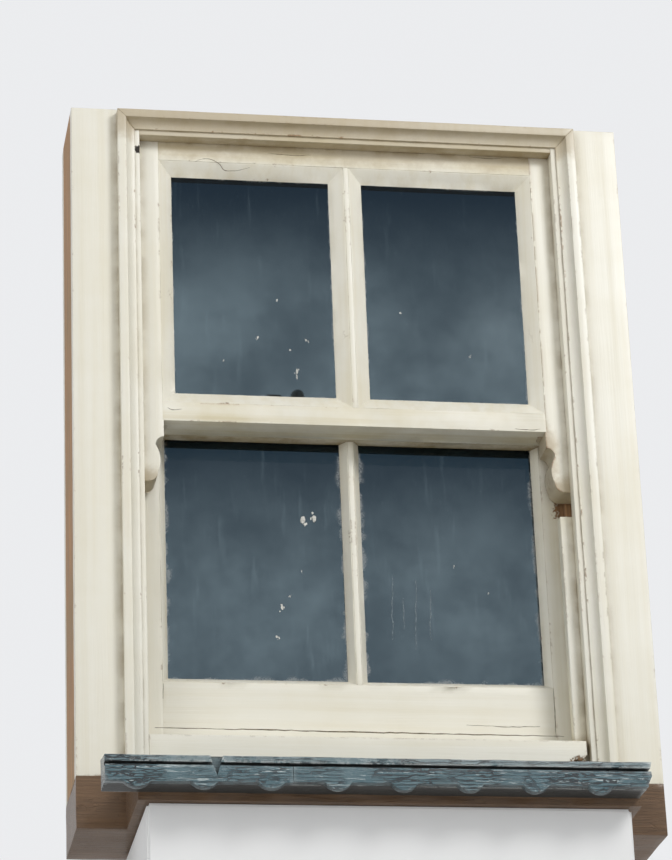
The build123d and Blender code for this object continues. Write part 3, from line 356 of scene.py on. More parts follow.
def rim_group():
    """Smears of putty and paint that run round the edge of a pane, as a mask."""
    tree, start, end = group_tree(
        "Pane Rim",
        [("Low", "NodeSocketVector", (0.0, 0.0, 0.0)), ("High", "NodeSocketVector", (1.0, 1.0, 1.0)),
         ("Width", "NodeSocketFloat", 0.008)],
        [("Mask", "NodeSocketFloat")])
    where = place(tree)
    points = [
        put(tree, "ShaderNodeSeparateXYZ", {0: v}).outputs for v in (where, start["Low"], start["High"])]
    nearest = None
    for axis in ("X", "Z"):
        for first, second in ((0, 1), (2, 0)):
            gap = maths(tree, "SUBTRACT", points[first][axis], points[second][axis])
            nearest = gap if nearest is None else maths(tree, "MINIMUM", nearest, gap)
    inside = maths(tree, "GREATER_THAN", nearest, -0.002)
    broad = stretched(tree, cloud(tree, where, 42.0, 3.0), 0.40, 0.68)
    reach = maths(tree, "MAXIMUM", maths(tree, "MULTIPLY", start["Width"], broad), 0.0003)
    away = stretched(tree, maths(tree, "DIVIDE", nearest, reach), 0.2, 1.1)
    band = maths(tree, "SUBTRACT", 1.0, away, True)
    fine = stretched(tree, cloud(tree, where, 700.0, 3.0, 0.5), 0.40, 0.70)
    streaky = maths(tree, "ADD", fine, 0.35)
    film = maths(tree, "MULTIPLY", band, maths(tree, "MULTIPLY", streaky, inside), True)
    tree.links.new(film, end["Mask"])
    return tree


def grain_group():
    """Growth rings along a board, as a mask from 0 to 1."""
    tree, start, end = group_tree(
        "Timber Grain", [("Stretch", "NodeSocketVector", (260.0, 260.0, 9.0))],
        [("Mask", "NodeSocketFloat")])
    where = place(tree)
    rings = cloud(tree, scaled(tree, where, start["Stretch"]), 1.0, 4.0, 0.6)
    tree.links.new(stretched(tree, rings, 0.3, 0.7), end["Mask"])
    return tree


def dust_and_shade_group():
    """Dust film and wipe marks on glass, thicker towards the bottom of a pane, as a mask; the dark upper
    part of each pane is painted shade as well as thinner dust.
    """
    tree, start, end = group_tree(
        "Glass Dust And Shade",
        [("Foot", "NodeSocketFloat", 0.5), ("Height", "NodeSocketFloat", 0.3),
         ("Streaks", "NodeSocketFloat", 0.3)],
        [("Mask", "NodeSocketFloat")])
    where = place(tree)
    up = put(tree, "ShaderNodeSeparateXYZ", {0: where}).outputs["Z"]
    # Painted shade and dust: the film fades out upwards, so that the top of a pane stays dark
    rise = maths(tree, "DIVIDE", maths(tree, "SUBTRACT", up, start["Foot"]), start["Height"])
    film = maths(tree, "SUBTRACT", 1.0, stretched(tree, rise, 0.35, 1.05), True)
    haze = stretched(tree, cloud(tree, where, 7.0, 5.0, 0.62), 0.28, 0.72)
    smear = stretched(tree, cloud(tree, scaled(tree, where, (95.0, 95.0, 11.0)), 1.0, 3.0), 0.60, 0.74)
    grit = stretched(tree, cloud(tree, where, 520.0, 1.0), 0.70, 0.80)
    mask = maths(tree, "MULTIPLY", film, maths(tree, "ADD", maths(tree, "MULTIPLY", haze, 0.4), 0.35))
    mask = maths(tree, "ADD", mask, maths(tree, "MULTIPLY", smear, start["Streaks"]), True)
    mask = maths(tree, "ADD", mask, maths(tree, "MULTIPLY", grit, 0.5), True)
    tree.links.new(mask, end["Mask"])
    return tree


GROUP_MAKERS = {
    "brush": brush_group, "grime_and_shade": grime_and_shade_group, "wear": wear_group, "cracks": crack_group,
    "grain": grain_group, "dust": dust_and_shade_group, "patch": patch_group, "rim": rim_group}
GROUPS = {}


def use(tree, key, **values):
    """Place one of the shared groups, built when it is first asked for, and return its output."""
    if key not in GROUPS:
        GROUPS[key] = GROUP_MAKERS[key]()
    node = tree.nodes.new("ShaderNodeGroup")
    node.node_tree = GROUPS[key]
    for name, value in values.items():
        socket = node.inputs[name]
        if isinstance(value, bpy.types.NodeSocket):
            tree.links.new(value, socket)
        else:
            socket.default_value = value
    return node.outputs[0]


def new_material(name):
    """A node material and its shader, with nothing linked but the output."""
    material = bpy.data.materials.new(name)
    material.use_nodes = True
    tree = material.node_tree
    shader = next(n for n in tree.nodes if n.type == "BSDF_PRINCIPLED")
    return material, tree, shader


def relief(tree, shader, height, depth):
    """Raise the surface by a height from 0 to 1, at a depth in metres."""
    bump = put(tree, "ShaderNodeBump", {"Height": height, "Strength": 1.0, "Distance": depth})
    tree.links.new(bump.outputs["Normal"], shader.inputs["Normal"])


# Materials


def oil_paint(
        name, stretch, grime_and_shade=0.8, under=0.55, wear=0.3, aged=0.5, rough=0.36, cracks=0.25, bare=(), rot=(),
        stain=()):
    """Old ivory oil paint on a board whose length lies along the stretch.

    Bare, rot and stain are places, each a centre and a size in metres, where the paint is
    gone, the timber has rotted or the paint has turned brown; a stain also has a depth.
    Some stains are painted shade, and the black of rot is partly painted shade in its hole."""
    paint = bpy.context.scene.sash_paint
    material, tree, shader = new_material(name)
    where = place(tree)
    patches = stretched(tree, cloud(tree, where, 6.5, 5.0, 0.6), 0.34, 0.72)
    broad_strokes = scaled(tree, where, [v * 0.16 for v in stretch])
    streaks = stretched(tree, cloud(tree, broad_strokes, 1.0, 4.0), 0.36, 0.75)
    tone = maths(tree, "MULTIPLY", maths(tree, "ADD", patches, streaks), aged * 0.5)
    colour = mixed(tree, tone, list(paint.ivory), list(paint.aged))
    # Painted shade as well as dirt: corners and faces that look down turn towards the grime colour
    dirt_and_shade = use(tree, "grime_and_shade", Corners=grime_and_shade, Undersides=under)
    colour = mixed(tree, dirt_and_shade, colour, list(paint.grime_and_shade))
    # Brown patches: real stains, and on the head painted shade
    for centre, size, depth in stain:
        blotch = use(tree, "patch", Centre=centre, Size=size, Grain=34.0, Softness=1.2)
        colour = mixed(tree, maths(tree, "MULTIPLY", blotch, depth), colour, STAIN_AND_SHADE_BROWN)
    crack = use(tree, "cracks", Stretch=[v * 0.3 + 5.0 for v in stretch], Patches=cracks)
    colour = mixed(tree, maths(tree, "MULTIPLY", crack, 0.75), colour, list(paint.grime_and_shade))
    chips = use(tree, "wear", Amount=wear)
    for centre, size in bare:
        chips = maths(tree, "MAXIMUM", chips, use(tree, "patch", Centre=centre, Size=size))
    grain = use(tree, "grain", Stretch=[v * 0.5 for v in stretch])
    timber = mixed(tree, grain, list(paint.timber), [v * 2.1 for v in paint.timber[:3]] + [1.0])
    colour = mixed(tree, chips, colour, timber)
    # Rot holes: black that is rotted timber and painted shade in the hole
    for centre, size in rot:
        hole = use(tree, "patch", Centre=centre, Size=size)
        colour = mixed(tree, hole, colour, ROT_AND_HOLE_SHADE)
        chips = maths(tree, "MAXIMUM", chips, hole)
    tree.links.new(colour, shader.inputs["Base Color"])
    worn = maths(tree, "ADD", maths(tree, "MULTIPLY", maths(tree, "MAXIMUM", dirt_and_shade, chips), 0.4), rough)
    tree.links.new(maths(tree, "ADD", worn, maths(tree, "MULTIPLY", tone, 0.2)), shader.inputs["Roughness"])
    brush = use(tree, "brush", Stretch=stretch)
    height = maths(tree, "SUBTRACT", brush, maths(tree, "MULTIPLY", crack, 0.9))
    height = maths(tree, "SUBTRACT", height, maths(tree, "MULTIPLY", chips, 1.6))
    relief(tree, shader, height, 0.22 * MM)
    return material


def blue_paint(name, under, bed, fade, edges):
    """Thick blue gloss on the sill, cracked along the board, with painted highlights on its ribs and
    painted shade between them.

    Behind the depth called bed it is bare timber, and painted only on top, between its
    notches."""
    paint = bpy.context.scene.sash_paint
    material, tree, shader = new_material(name)
    where = place(tree)
    uneven_coat = cloud(tree, scaled(tree, where, (9.0, 30.0, 30.0)), 1.0, 5.0, 0.62)
    patches = stretched(tree, uneven_coat, 0.35, 0.68)
    colour = mixed(tree, patches, list(paint.blue), BLUE_WORN)
    colour = mixed(tree, fade, colour, BLUE_FADED)
    # Painted shade in the hollows between the ribs and painted highlights along them
    ribs = cloud(tree, scaled(tree, where, (22.0, 190.0, 300.0)), 1.0, 5.0, 0.72)
    colour = mixed(tree, stretched(tree, ribs, 0.42, 0.30), colour, BLUE_HOLLOW_SHADE)
    pale = stretched(tree, ribs, 0.575, 0.65)
    colour = mixed(tree, maths(tree, "MULTIPLY", pale, 0.85), colour, BLUE_RIB_HIGHLIGHT)
    crack = use(tree, "cracks", Stretch=(24.0, 260.0, 330.0), Width=0.10, Patches=0.62)
    colour = mixed(tree, crack, colour, SILL_CRACK)
    # Painted shade as well as dirt: corners and faces that look down go nearly black, most under the nose
    dirt_and_shade = use(tree, "grime_and_shade", Corners=0.9, Undersides=under)
    colour = mixed(tree, dirt_and_shade, colour, SILL_DIRT_AND_SHADE)
    chips = maths(tree, "MULTIPLY", use(tree, "wear", Reach=0.005, Amount=0.75), edges)
    colour = mixed(tree, chips, colour, BLUE_CHIPPED)
    spot = put(tree, "ShaderNodeSeparateXYZ", {0: where}).outputs
    behind = stretched(tree, spot["Y"], bed - 0.001, bed + 0.001)
    between = maths(tree, "LESS_THAN", maths(tree, "ABSOLUTE", spot["X"]), PAINTED_HALF)
    normal = put(tree, "ShaderNodeNewGeometry").outputs["Normal"]
    upward = stretched(tree, put(tree, "ShaderNodeSeparateXYZ", {0: normal}).outputs["Z"], 0.3, 0.5)
    behind = maths(tree, "SUBTRACT", behind, maths(tree, "MULTIPLY", between, upward), True)
    grain = use(tree, "grain", Stretch=[v * 0.5 for v in LEVEL])
    timber = mixed(tree, grain, [v * 0.7 for v in paint.timber[:3]] + [1.0], list(paint.timber))
    colour = mixed(tree, behind, colour, timber)
    tree.links.new(colour, shader.inputs["Base Color"])
    worn = maths(tree, "MAXIMUM", maths(tree, "MULTIPLY", crack, 0.5), maths(tree, "MAXIMUM", behind, dirt_and_shade))
    tree.links.new(maths(tree, "ADD", maths(tree, "MULTIPLY", worn, 0.5), 0.2), shader.inputs["Roughness"])
    shader.inputs["Coat Weight"].default_value = 0.3
    shader.inputs["Coat Roughness"].default_value = 0.15
    height = maths(tree, "ADD", ribs, maths(tree, "MULTIPLY", patches, 0.4))
    height = maths(tree, "SUBTRACT", height, maths(tree, "MULTIPLY", crack, 0.6))
    height = maths(tree, "SUBTRACT", height, maths(tree, "MULTIPLY", chips, 0.3))
    relief(tree, shader, height, 1.6 * MM)
    return material


def bare_timber(name, stretch, dark=1.0):
    """Unpainted softwood, brown with age."""
    paint = bpy.context.scene.sash_paint
    material, tree, shader = new_material(name)
    where = place(tree)
    grain = use(tree, "grain", Stretch=[v * 0.5 for v in stretch])
    base = [v * 1.7 * dark for v in paint.timber[:3]] + [1.0]
    light = [v * 3.4 * dark for v in paint.timber[:3]] + [1.0]
    colour = mixed(tree, grain, base, light)
    stain = stretched(tree, cloud(tree, where, 11.0, 4.0), 0.4, 0.75)
    colour = mixed(tree, maths(tree, "MULTIPLY", stain, 0.5), colour, list(paint.grime_and_shade))
    tree.links.new(colour, shader.inputs["Base Color"])
    dull = maths(tree, "ADD", maths(tree, "MULTIPLY", grain, 0.15), 0.62)
    tree.links.new(dull, shader.inputs["Roughness"])
    relief(tree, shader, grain, 0.25 * MM)
    return material


def drawn_glass(name, foot, height, streaks, rim_width, panes):
    """Thin old glass, darkened as painted shade, with a film of dust and smears round each pane."""
    glass = bpy.context.scene.sash_glass
    material, tree, shader = new_material(name)
    where = place(tree)
    dust = use(tree, "dust", Foot=foot, Height=height, Streaks=streaks)
    # Painted shade: nearly black glass where the dust film is thin
    colour = mixed(tree, dust, list(glass.dark), list(glass.dust))
    smear = None
    for x0, x1, z0, z1 in panes:
        rim = use(tree, "rim", Low=(x0, 0.0, z0), High=(x1, 0.0, z1), Width=rim_width)
        smear = rim if smear is None else maths(tree, "MAXIMUM", smear, rim)
    colour = mixed(tree, maths(tree, "MULTIPLY", smear, 0.5), colour, list(glass.smear))
    tree.links.new(colour, shader.inputs["Base Color"])
    film = maths(tree, "ADD", maths(tree, "MULTIPLY", dust, 0.22), maths(tree, "MULTIPLY", smear, 0.5))
    tree.links.new(maths(tree, "ADD", film, 0.03), shader.inputs["Roughness"])
    shader.inputs["Transmission Weight"].default_value = 1.0
    shader.inputs["IOR"].default_value = OLD_GLASS_INDEX
    waves = cloud(tree, scaled(tree, where, (9.0, 1.0, 5.0)), 1.0, 1.0)
    relief(tree, shader, waves, glass.ripple)
    return material


def old_metal(name, base, stain, metallic, rough):
    """Cast or turned metal, dulled in patches."""
    material, tree, shader = new_material(name)
    where = place(tree)
    patches = stretched(tree, cloud(tree, where, 60.0, 5.0, 0.65), 0.35, 0.7)
    colour = mixed(tree, patches, base, stain)
    # Painted shade as well as dirt in corners and under the metal
    dirt_and_shade = use(tree, "grime_and_shade", Reach=0.006, Corners=0.8, Undersides=0.2)
    colour = mixed(tree, dirt_and_shade, colour, METAL_DIRT_AND_SHADE)
    tree.links.new(colour, shader.inputs["Base Color"])
    shader.inputs["Metallic"].default_value = metallic
    dulled = maths(tree, "ADD", maths(tree, "MULTIPLY", patches, 0.25), rough)
    tree.links.new(dulled, shader.inputs["Roughness"])
    relief(tree, shader, cloud(tree, where, 420.0, 3.0), 0.12 * MM)
    return material


def plain_coat(name, main, other, rough):
    """A dull coat in two mottled tones."""
    material, tree, shader = new_material(name)
    mottle = stretched(tree, cloud(tree, place(tree), 480.0, 3.0), 0.35, 0.65)
    tree.links.new(mixed(tree, mottle, main, other), shader.inputs["Base Color"])
    shader.inputs["Roughness"].default_value = rough
    relief(tree, shader, mottle, 0.15 * MM)
    return material


def braid():
    """Waxed cotton cord: two sets of strands that cross on the slant."""
    material, tree, shader = new_material("braided_cotton")
    where = place(tree)
    parts = put(tree, "ShaderNodeSeparateXYZ", {0: where})
    across = maths(tree, "ADD", parts.outputs["X"], parts.outputs["Y"])
    waves = []
    for turn in (1.0, -1.0):
        slant = maths(tree, "ADD", parts.outputs["Z"], maths(tree, "MULTIPLY", across, turn))
        waves.append(maths(tree, "SINE", maths(tree, "MULTIPLY", slant, 2200.0)))
    weave = stretched(tree, maths(tree, "MAXIMUM", waves[0], waves[1]), -0.2, 1.0)
    soil = stretched(tree, cloud(tree, where, 45.0, 4.0), 0.35, 0.75)
    colour = mixed(tree, weave, CORD_DARK, CORD_LIGHT)
    colour = mixed(tree, maths(tree, "MULTIPLY", soil, 0.5), colour, CORD_SOIL)
    tree.links.new(colour, shader.inputs["Base Color"])
    shader.inputs["Roughness"].default_value = 0.85
    relief(tree, shader, weave, 0.5 * MM)
    return material


MATERIALS = {}


def finish_named(key):
    """Build a finish when it is first asked for."""
    makers = {
        "upright": lambda: oil_paint("ivory_paint_upright", UPRIGHT),
        "level": lambda: oil_paint("ivory_paint_level", LEVEL),
        # Head: the extra grime, the extra yellowing and the brown band along it are painted shade and
        # painted reflection of warm light, as well as dirt and yellowed paint
        "head": lambda: oil_paint(
            "ivory_paint_head", LEVEL, grime_and_shade=1.3, under=0.8, aged=1.3, cracks=0.3,
            stain=(((0.0, 0.0, 0.850), (0.90, 0.09, 0.016), 0.45),)),
        # Mould: the brown bands along its head are painted shade
        "mould": lambda: oil_paint(
            "ivory_paint_mould", UPRIGHT, grime_and_shade=0.9, aged=0.6,
            stain=(((0.0, -0.004, 0.862), (0.70, 0.05, 0.020), 0.5),
                   ((-0.12, -0.012, 0.868), (0.16, 0.05, 0.014), 0.3))),
        # Ledge: the extra yellowing is partly yellowed paint and partly painted reflection of warm light
        "ledge": lambda: oil_paint("ivory_paint_ledge", LEVEL, grime_and_shade=0.8, under=0.25, aged=1.5),
        # Soot and painted shade: heavy darkening of the lower meeting rail
        "soot_and_shade": lambda: oil_paint("ivory_paint_soot_and_shade", LEVEL, grime_and_shade=2.0, under=1.0, aged=1.6, cracks=0.3),
        # Corner: a rot hole whose black is rotted timber and painted shade inside it
        "corner": lambda: oil_paint(
            "ivory_paint_corner", UPRIGHT,
            rot=(((-0.2490, 0.001, 0.8265), (0.0055, 0.008, 0.0065)),)),
        "sill": lambda: oil_paint(
            "ivory_paint_sill", LEVEL, grime_and_shade=1.0, wear=0.5, cracks=0.4,
            bare=(((0.233, 0.004, 0.082), (0.014, 0.012, 0.010)),)),
        "horned": lambda: oil_paint(
            "ivory_paint_horned", UPRIGHT,
            stain=(((-0.232, 0.034, 0.412), (0.030, 0.040, 0.012), 0.6),)),
        "flaked": lambda: oil_paint(
            "ivory_paint_flaked", UPRIGHT, wear=0.7,
            stain=(((0.232, 0.034, 0.412), (0.030, 0.040, 0.014), 0.6),
                   ((0.224, 0.040, 0.462), (0.010, 0.030, 0.030), 0.6)),
            bare=(((0.2185, 0.0165, 0.598), (0.0035, 0.004, 0.020)),
                  ((0.2195, 0.0165, 0.556), (0.003, 0.004, 0.016)),
                  ((0.2180, 0.0165, 0.617), (0.005, 0.004, 0.006)),
                  ((0.2200, 0.0165, 0.522), (0.0025, 0.004, 0.012)))),
        "worn_track": lambda: oil_paint(
            "worn_track_paint", UPRIGHT, grime_and_shade=1.0, aged=0.9, wear=0.4, rough=0.5,
            bare=(((0.252, 0.058, 0.409), (0.018, 0.016, 0.019)),)),
        "track": lambda: oil_paint("track_paint", UPRIGHT, grime_and_shade=1.0, aged=0.9, wear=0.4, rough=0.5),
        "putty": lambda: oil_paint(
            "putty_paint", UPRIGHT, grime_and_shade=0.7, wear=0.05, aged=0.7, rough=0.42, cracks=0.35),
        "blue": lambda: blue_paint("blue_gloss_paint", 2.5, -0.107, 0.45, 0.9),
        "blue_apron": lambda: blue_paint("blue_apron_paint", 0.6, 1.0, 0.1, 0.25),
        "timber": lambda: bare_timber("bare_timber_upright", UPRIGHT),
        "timber_level": lambda: bare_timber("bare_timber_level", LEVEL),
        "upper_glass": lambda: drawn_glass(
            "upper_glass", 0.50, 0.30, 0.12, 0.003,
            ((-0.2075, -0.0195, 0.527, 0.807), (0.0195, 0.2075, 0.527, 0.807))),
        "lower_glass": lambda: drawn_glass(
            "lower_glass", 0.19, 0.32, 0.18, 0.008,
            ((-0.2160, -0.0105, 0.1965, 0.5200), (0.0105, 0.2160, 0.1965, 0.5200))),
        "iron": lambda: old_metal("cast_iron", (0.05, 0.045, 0.04, 1.0), (0.12, 0.06, 0.03, 1.0), 0.6, 0.5),
        "brass": lambda: old_metal(
            "dull_brass", (0.50, 0.36, 0.14, 1.0), (0.20, 0.13, 0.06, 1.0), 1.0, 0.3),
        "knob": lambda: oil_paint("painted_fittings", LEVEL, grime_and_shade=1.2, wear=0.5, rough=0.3),
        "splash": lambda: plain_coat("paint_splash", (0.72, 0.71, 0.66, 1.0), (0.45, 0.44, 0.40, 1.0), 0.5),
        "smear": lambda: plain_coat("dried_run", (0.20, 0.24, 0.26, 1.0), (0.07, 0.10, 0.12, 1.0), 0.7),
        "hairline": lambda: plain_coat("crack_dirt", (0.09, 0.07, 0.04, 1.0), (0.22, 0.18, 0.11, 1.0), 0.8),
        "cord": braid,
    }
    if key not in MATERIALS:
        MATERIALS[key] = makers[key]()
    return MATERIALS[key]


# Meshes


def mesh_piece(name, bm, material, body):
    """Turn a bmesh into a named piece with its finish, riding on a body."""
    mesh = bpy.data.meshes.new(name)
    bm.to_mesh(mesh)
    bm.free()
    mesh.materials.append(finish_named(material))
    piece = bpy.data.objects.new(name, mesh)
    bpy.context.scene.collection.objects.link(piece)
    if body:
        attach(piece, body)
    return piece


def slice_up(bm, axis, step):
    """Cut a mesh into slabs along one axis, so that its long faces can be shaped."""
    values = [v.co[axis] for v in bm.verts]
    low, high = min(values), max(values)
    count = int((high - low) / step)
    normal = [0.0, 0.0, 0.0]
    normal[axis] = 1.0
    for i in range(1, count):
        point = [0.0, 0.0, 0.0]
        point[axis] = low + (high - low) * i / count
        bmesh.ops.bisect_plane(
            bm, geom=bm.verts[:] + bm.edges[:] + bm.faces[:], plane_co=point, plane_no=normal,
            dist=WELD)


def uneven(bm, amount, seed, wave=0.035):
    """Push points along their normals by two sizes of noise."""
    bm.normal_update()
    shift = Vector((seed * 1.7, seed * 0.9, seed * 2.3))
    for v in bm.verts:
        broad = noise.noise(v.co / wave + shift)
        small = noise.noise(v.co / (wave * 0.25) + shift)
        v.co += v.normal * amount * (broad + 0.35 * small)


def old_timber(node, material, amount=1.0, step=0.014, soft=1.0, seed=1, behind=None):
    """A softened and slightly uneven copy of a CAD timber piece, standing for it.

    Nothing of it passes the depth called behind."""
    paint = bpy.context.scene.sash_paint
    bm = bmesh.new()
    bm.from_mesh(nodes[node].data)
    bmesh.ops.remove_doubles(bm, verts=bm.verts[:], dist=WELD)
    bmesh.ops.dissolve_limit(
        bm, angle_limit=math.radians(FLAT_TURN), verts=bm.verts[:], edges=bm.edges[:])
    rounded = math.radians(ROUNDED_TURN)
    sharp = [e for e in bm.edges if len(e.link_faces) == 2 and e.calc_face_angle(0.0) > rounded]
    bmesh.ops.bevel(
        bm, geom=sharp, offset=paint.softening * soft, segments=2, profile=0.6, affect="EDGES",
        clamp_overlap=True)
    sizes = [hi - lo for lo, hi in zip(*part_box(node))]
    for axis in range(3):
        if sizes[axis] > LONG_SIDE:
            slice_up(bm, axis, step)
    uneven(bm, paint.unevenness * amount, seed)
    if behind is not None:
        for v in bm.verts:
            v.co.y = min(v.co.y, behind)
    for face in bm.faces:
        face.smooth = True
    piece = mesh_piece(f"{node}_painted", bm, material, nodes[node]["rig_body"])
    mark_hard_edges(piece)
    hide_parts(node)
    return piece


def mark_hard_edges(piece):
    """Keep faces flat beside edges that still turn sharply."""
    piece.data.set_sharp_from_angle(angle=math.radians(HARD_TURN))


def carried(node, material):
    """Give a CAD node its finish."""
    mesh = nodes[node].data
    mesh.materials.clear()
    mesh.materials.append(finish_named(material))


def dress(table):
    """Make old timber from each node of a table of node, finish."""
    for seed, (node, material) in enumerate(table):
        old_timber(node, material, seed=seed + len(node))


# Operators


class DressSills(bpy.types.Operator):
    """Blue sub sill, its scalloped apron and the timber sill"""
    bl_idname = "sash.dress_sills"
    bl_label = "Dress the sills"

    def execute(self, context):
        old_timber("sub_sill", "blue", amount=2.6, step=0.009, soft=1.6, seed=3)
        for seed, node in enumerate(("scalloped_apron_short", "scalloped_apron_long")):
            old_timber(node, "blue_apron", amount=2.0, step=0.009, soft=1.2, seed=seed + 4)
        old_timber("timber_sill", "sill", amount=1.6, seed=9)
        return {"FINISHED"}


class DressFrame(bpy.types.Operator):
    """Linings, pulley stiles, beads and mouldings of the box frame"""
    bl_idname = "sash.dress_frame"
    bl_label = "Dress the frame"

    def execute(self, context):
        pieces = [
            ("outside_lining_head", "head"), ("outside_lining_left", "corner"),
            ("outside_lining_right", "upright"), ("brick_mould", "mould"), ("parting_beads", "worn_track"),
            ("inside_lining_head", "level"), ("staff_bead_head", "level"), ("staff_bead_sill", "level"),
            ("stop_batten", "track")]
        for side in ("left", "right"):
            pieces += [
                (f"pulley_stile_{side}", "track"),
                (f"pocket_piece_{side}", "track"), (f"inside_lining_{side}", "upright"),
                (f"staff_bead_{side}", "upright")]
        dress(pieces)
        for node in ("back_lining_left", "back_lining_right", "parting_slips"):
            carried(node, "timber")
        carried("head_board", "timber_level")
        return {"FINISHED"}


class DressUpperSash(bpy.types.Operator):
    """Stiles with horns, rails, bar and putty of the upper sash"""
    bl_idname = "sash.dress_upper_sash"
    bl_label = "Dress the upper sash"

    def execute(self, context):
        dress([
            ("upper_stile_left", "horned"), ("upper_stile_right", "flaked"),
            ("upper_top_rail", "head"), ("upper_meeting_rail", "ledge"), ("upper_glazing_bar", "upright")])
        pane_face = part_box("upper_panes")[0].y - 0.08 * MM
        old_timber("upper_putty", "putty", amount=1.4, step=0.008, soft=0.5, seed=4, behind=pane_face)
        carried("upper_panes", "upper_glass")
        return {"FINISHED"}


class DressLowerSash(bpy.types.Operator):
    """Stiles, rails, bar and putty of the lower sash"""
    bl_idname = "sash.dress_lower_sash"
    bl_label = "Dress the lower sash"

    def execute(self, context):
        # The lower meeting rail's dark finish is soot and painted shade
        dress([
            ("lower_stile_left", "upright"), ("lower_stile_right", "worn_track"),
            ("lower_bottom_rail", "level"), ("lower_meeting_rail", "soot_and_shade"),
            ("lower_glazing_bar", "upright")])
        pane_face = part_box("lower_panes")[0].y - 0.08 * MM
        old_timber("lower_putty", "putty", amount=1.7, step=0.008, soft=0.5, seed=7, behind=pane_face)
        carried("lower_panes", "lower_glass")
        return {"FINISHED"}


class MarkGlass(bpy.types.Operator):
    """Splashes of paint, old drips and runs on the panes"""
    bl_idname = "sash.mark_glass"
    bl_label = "Mark the glass"

    def execute(self, context):
        splashes("upper", (
            (-109.1, 602.6, 1.5, 0.9), (-64.7, 560.2, 1.8, 1.5), (-65.0, 552.5, 0.9, 3.4),
            (-85.4, 651.1, 1.1, 1.0), (-52.8, 600.9, 1.2, 1.1), (-72.1, 587.4, 0.8, 1.4),
            (60.0, 640.0, 0.9, 1.2), (141.0, 586.0, 0.8, 1.0), (-150.0, 571.0, 0.8, 1.1)))
        splashes("lower", (
            (-56.3, 393.5, 3.2, 1.5), (-43.4, 395.1, 2.6, 1.7), (-84.0, 286.2, 1.8, 2.0),
            (-90.9, 249.8, 1.6, 1.1), (-74.4, 299.8, 0.9, 1.0), (-60.0, 330.0, 0.7, 1.2),
            (118.0, 341.0, 0.8, 1.1), (157.0, 309.0, 0.7, 1.0)))
        runs("lower", (
            ((46.1, 328.4), (43.6, 279.0), (42.6, 249.2)), ((72.7, 323.0), (71.0, 281.0), (68.7, 237.7)),
            ((89.7, 311.1), (87.4, 282.0), (86.7, 250.1)), ((57.0, 300.0), (56.0, 262.0))))
        return {"FINISHED"}


def splashes(sash, marks):
    """Flat drops on the outside of the panes: x and z in millimetres, radius, stretch downwards."""
    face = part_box(f"{sash}_panes")[0].y
    flatness = 0.18
    bm = bmesh.new()
    drops = []
    for x, z, size, drop in marks:
        drops.append((x, z, size, drop))
        for k in range(4):
            aside = noise.noise(Vector((x + 7.1 * k, z, 0.4 + k))) * size * 3.2
            along = noise.noise(Vector((x, z + 5.3 * k, 9.6 - k))) * size * 4.5
            drops.append((x + aside, z + along, size * (0.30 + 0.08 * k), 1.2))
    for x, z, size, drop in drops:
        shift = Vector((x, z, 0))
        for v in bmesh.ops.create_icosphere(bm, subdivisions=3, radius=size * MM)["verts"]:
            v.co.x *= 0.8 + 0.5 * noise.noise(v.co * 500 + shift)
            v.co.z *= drop * (1.0 + 0.6 * noise.noise(v.co * 450 - shift))
            v.co.y *= flatness
            v.co += Vector((x * MM, face, z * MM))
    for facet in bm.faces:
        facet.smooth = True
    mesh_piece(f"{sash}_glass_splashes", bm, "splash", f"{sash}_sash")


def runs(sash, paths):
    """Thin dried runs down the outside of the panes."""
    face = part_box(f"{sash}_panes")[0].y
    bm = bmesh.new()
    for path in paths:
        add_strand(bm, [Vector((x * MM, face, z * MM)) for x, z in path], 0.6 * MM, 1.8 * MM)
    mesh_piece(f"{sash}_glass_runs", bm, "smear", f"{sash}_sash")


def add_strand(bm, points, radius, wander):
    """A thin six-sided strand through points, thinner towards its ends and wandering sideways."""
    steps = 14
    sides = 6
    line = []
    padded = [points[0], *points, points[-1]]
    for before, start, end, after in zip(padded, padded[1:], padded[2:], padded[3:]):
        for i in range(steps):
            t = i / steps
            line.append(0.5 * (
                2 * start + (end - before) * t + (2 * before - 5 * start + 4 * end - after) * t ** 2
                + (3 * start - before - 3 * end + after) * t ** 3))
    line.append(points[-1])
    rings = []
    for i, point in enumerate(line):
        along = (line[min(i + 1, len(line) - 1)] - line[max(i - 1, 0)]).normalized()
        side = along.cross(Vector((0, 1, 0))).normalized()
        thin = radius * (0.35 + 0.65 * math.sin(math.pi * (i + 0.5) / len(line)))
        thin *= 1.0 + 0.5 * noise.noise(point * 400)
        middle = point + side * wander * noise.noise(point * 90)
        ring = [
            bm.verts.new(middle + side * thin * math.cos(a) + Vector((0, 0.4 * thin, 0)) * math.sin(a))
            for a in (math.tau * k / sides for k in range(sides))]
        rings.append(ring)
    for low, high in zip(rings, rings[1:]):
        for k in range(sides):
            beside = (k + 1) % sides
            bm.faces.new((low[k], low[beside], high[beside], high[k]))
    bm.faces.new(rings[0])
    bm.faces.new(list(reversed(rings[-1])))


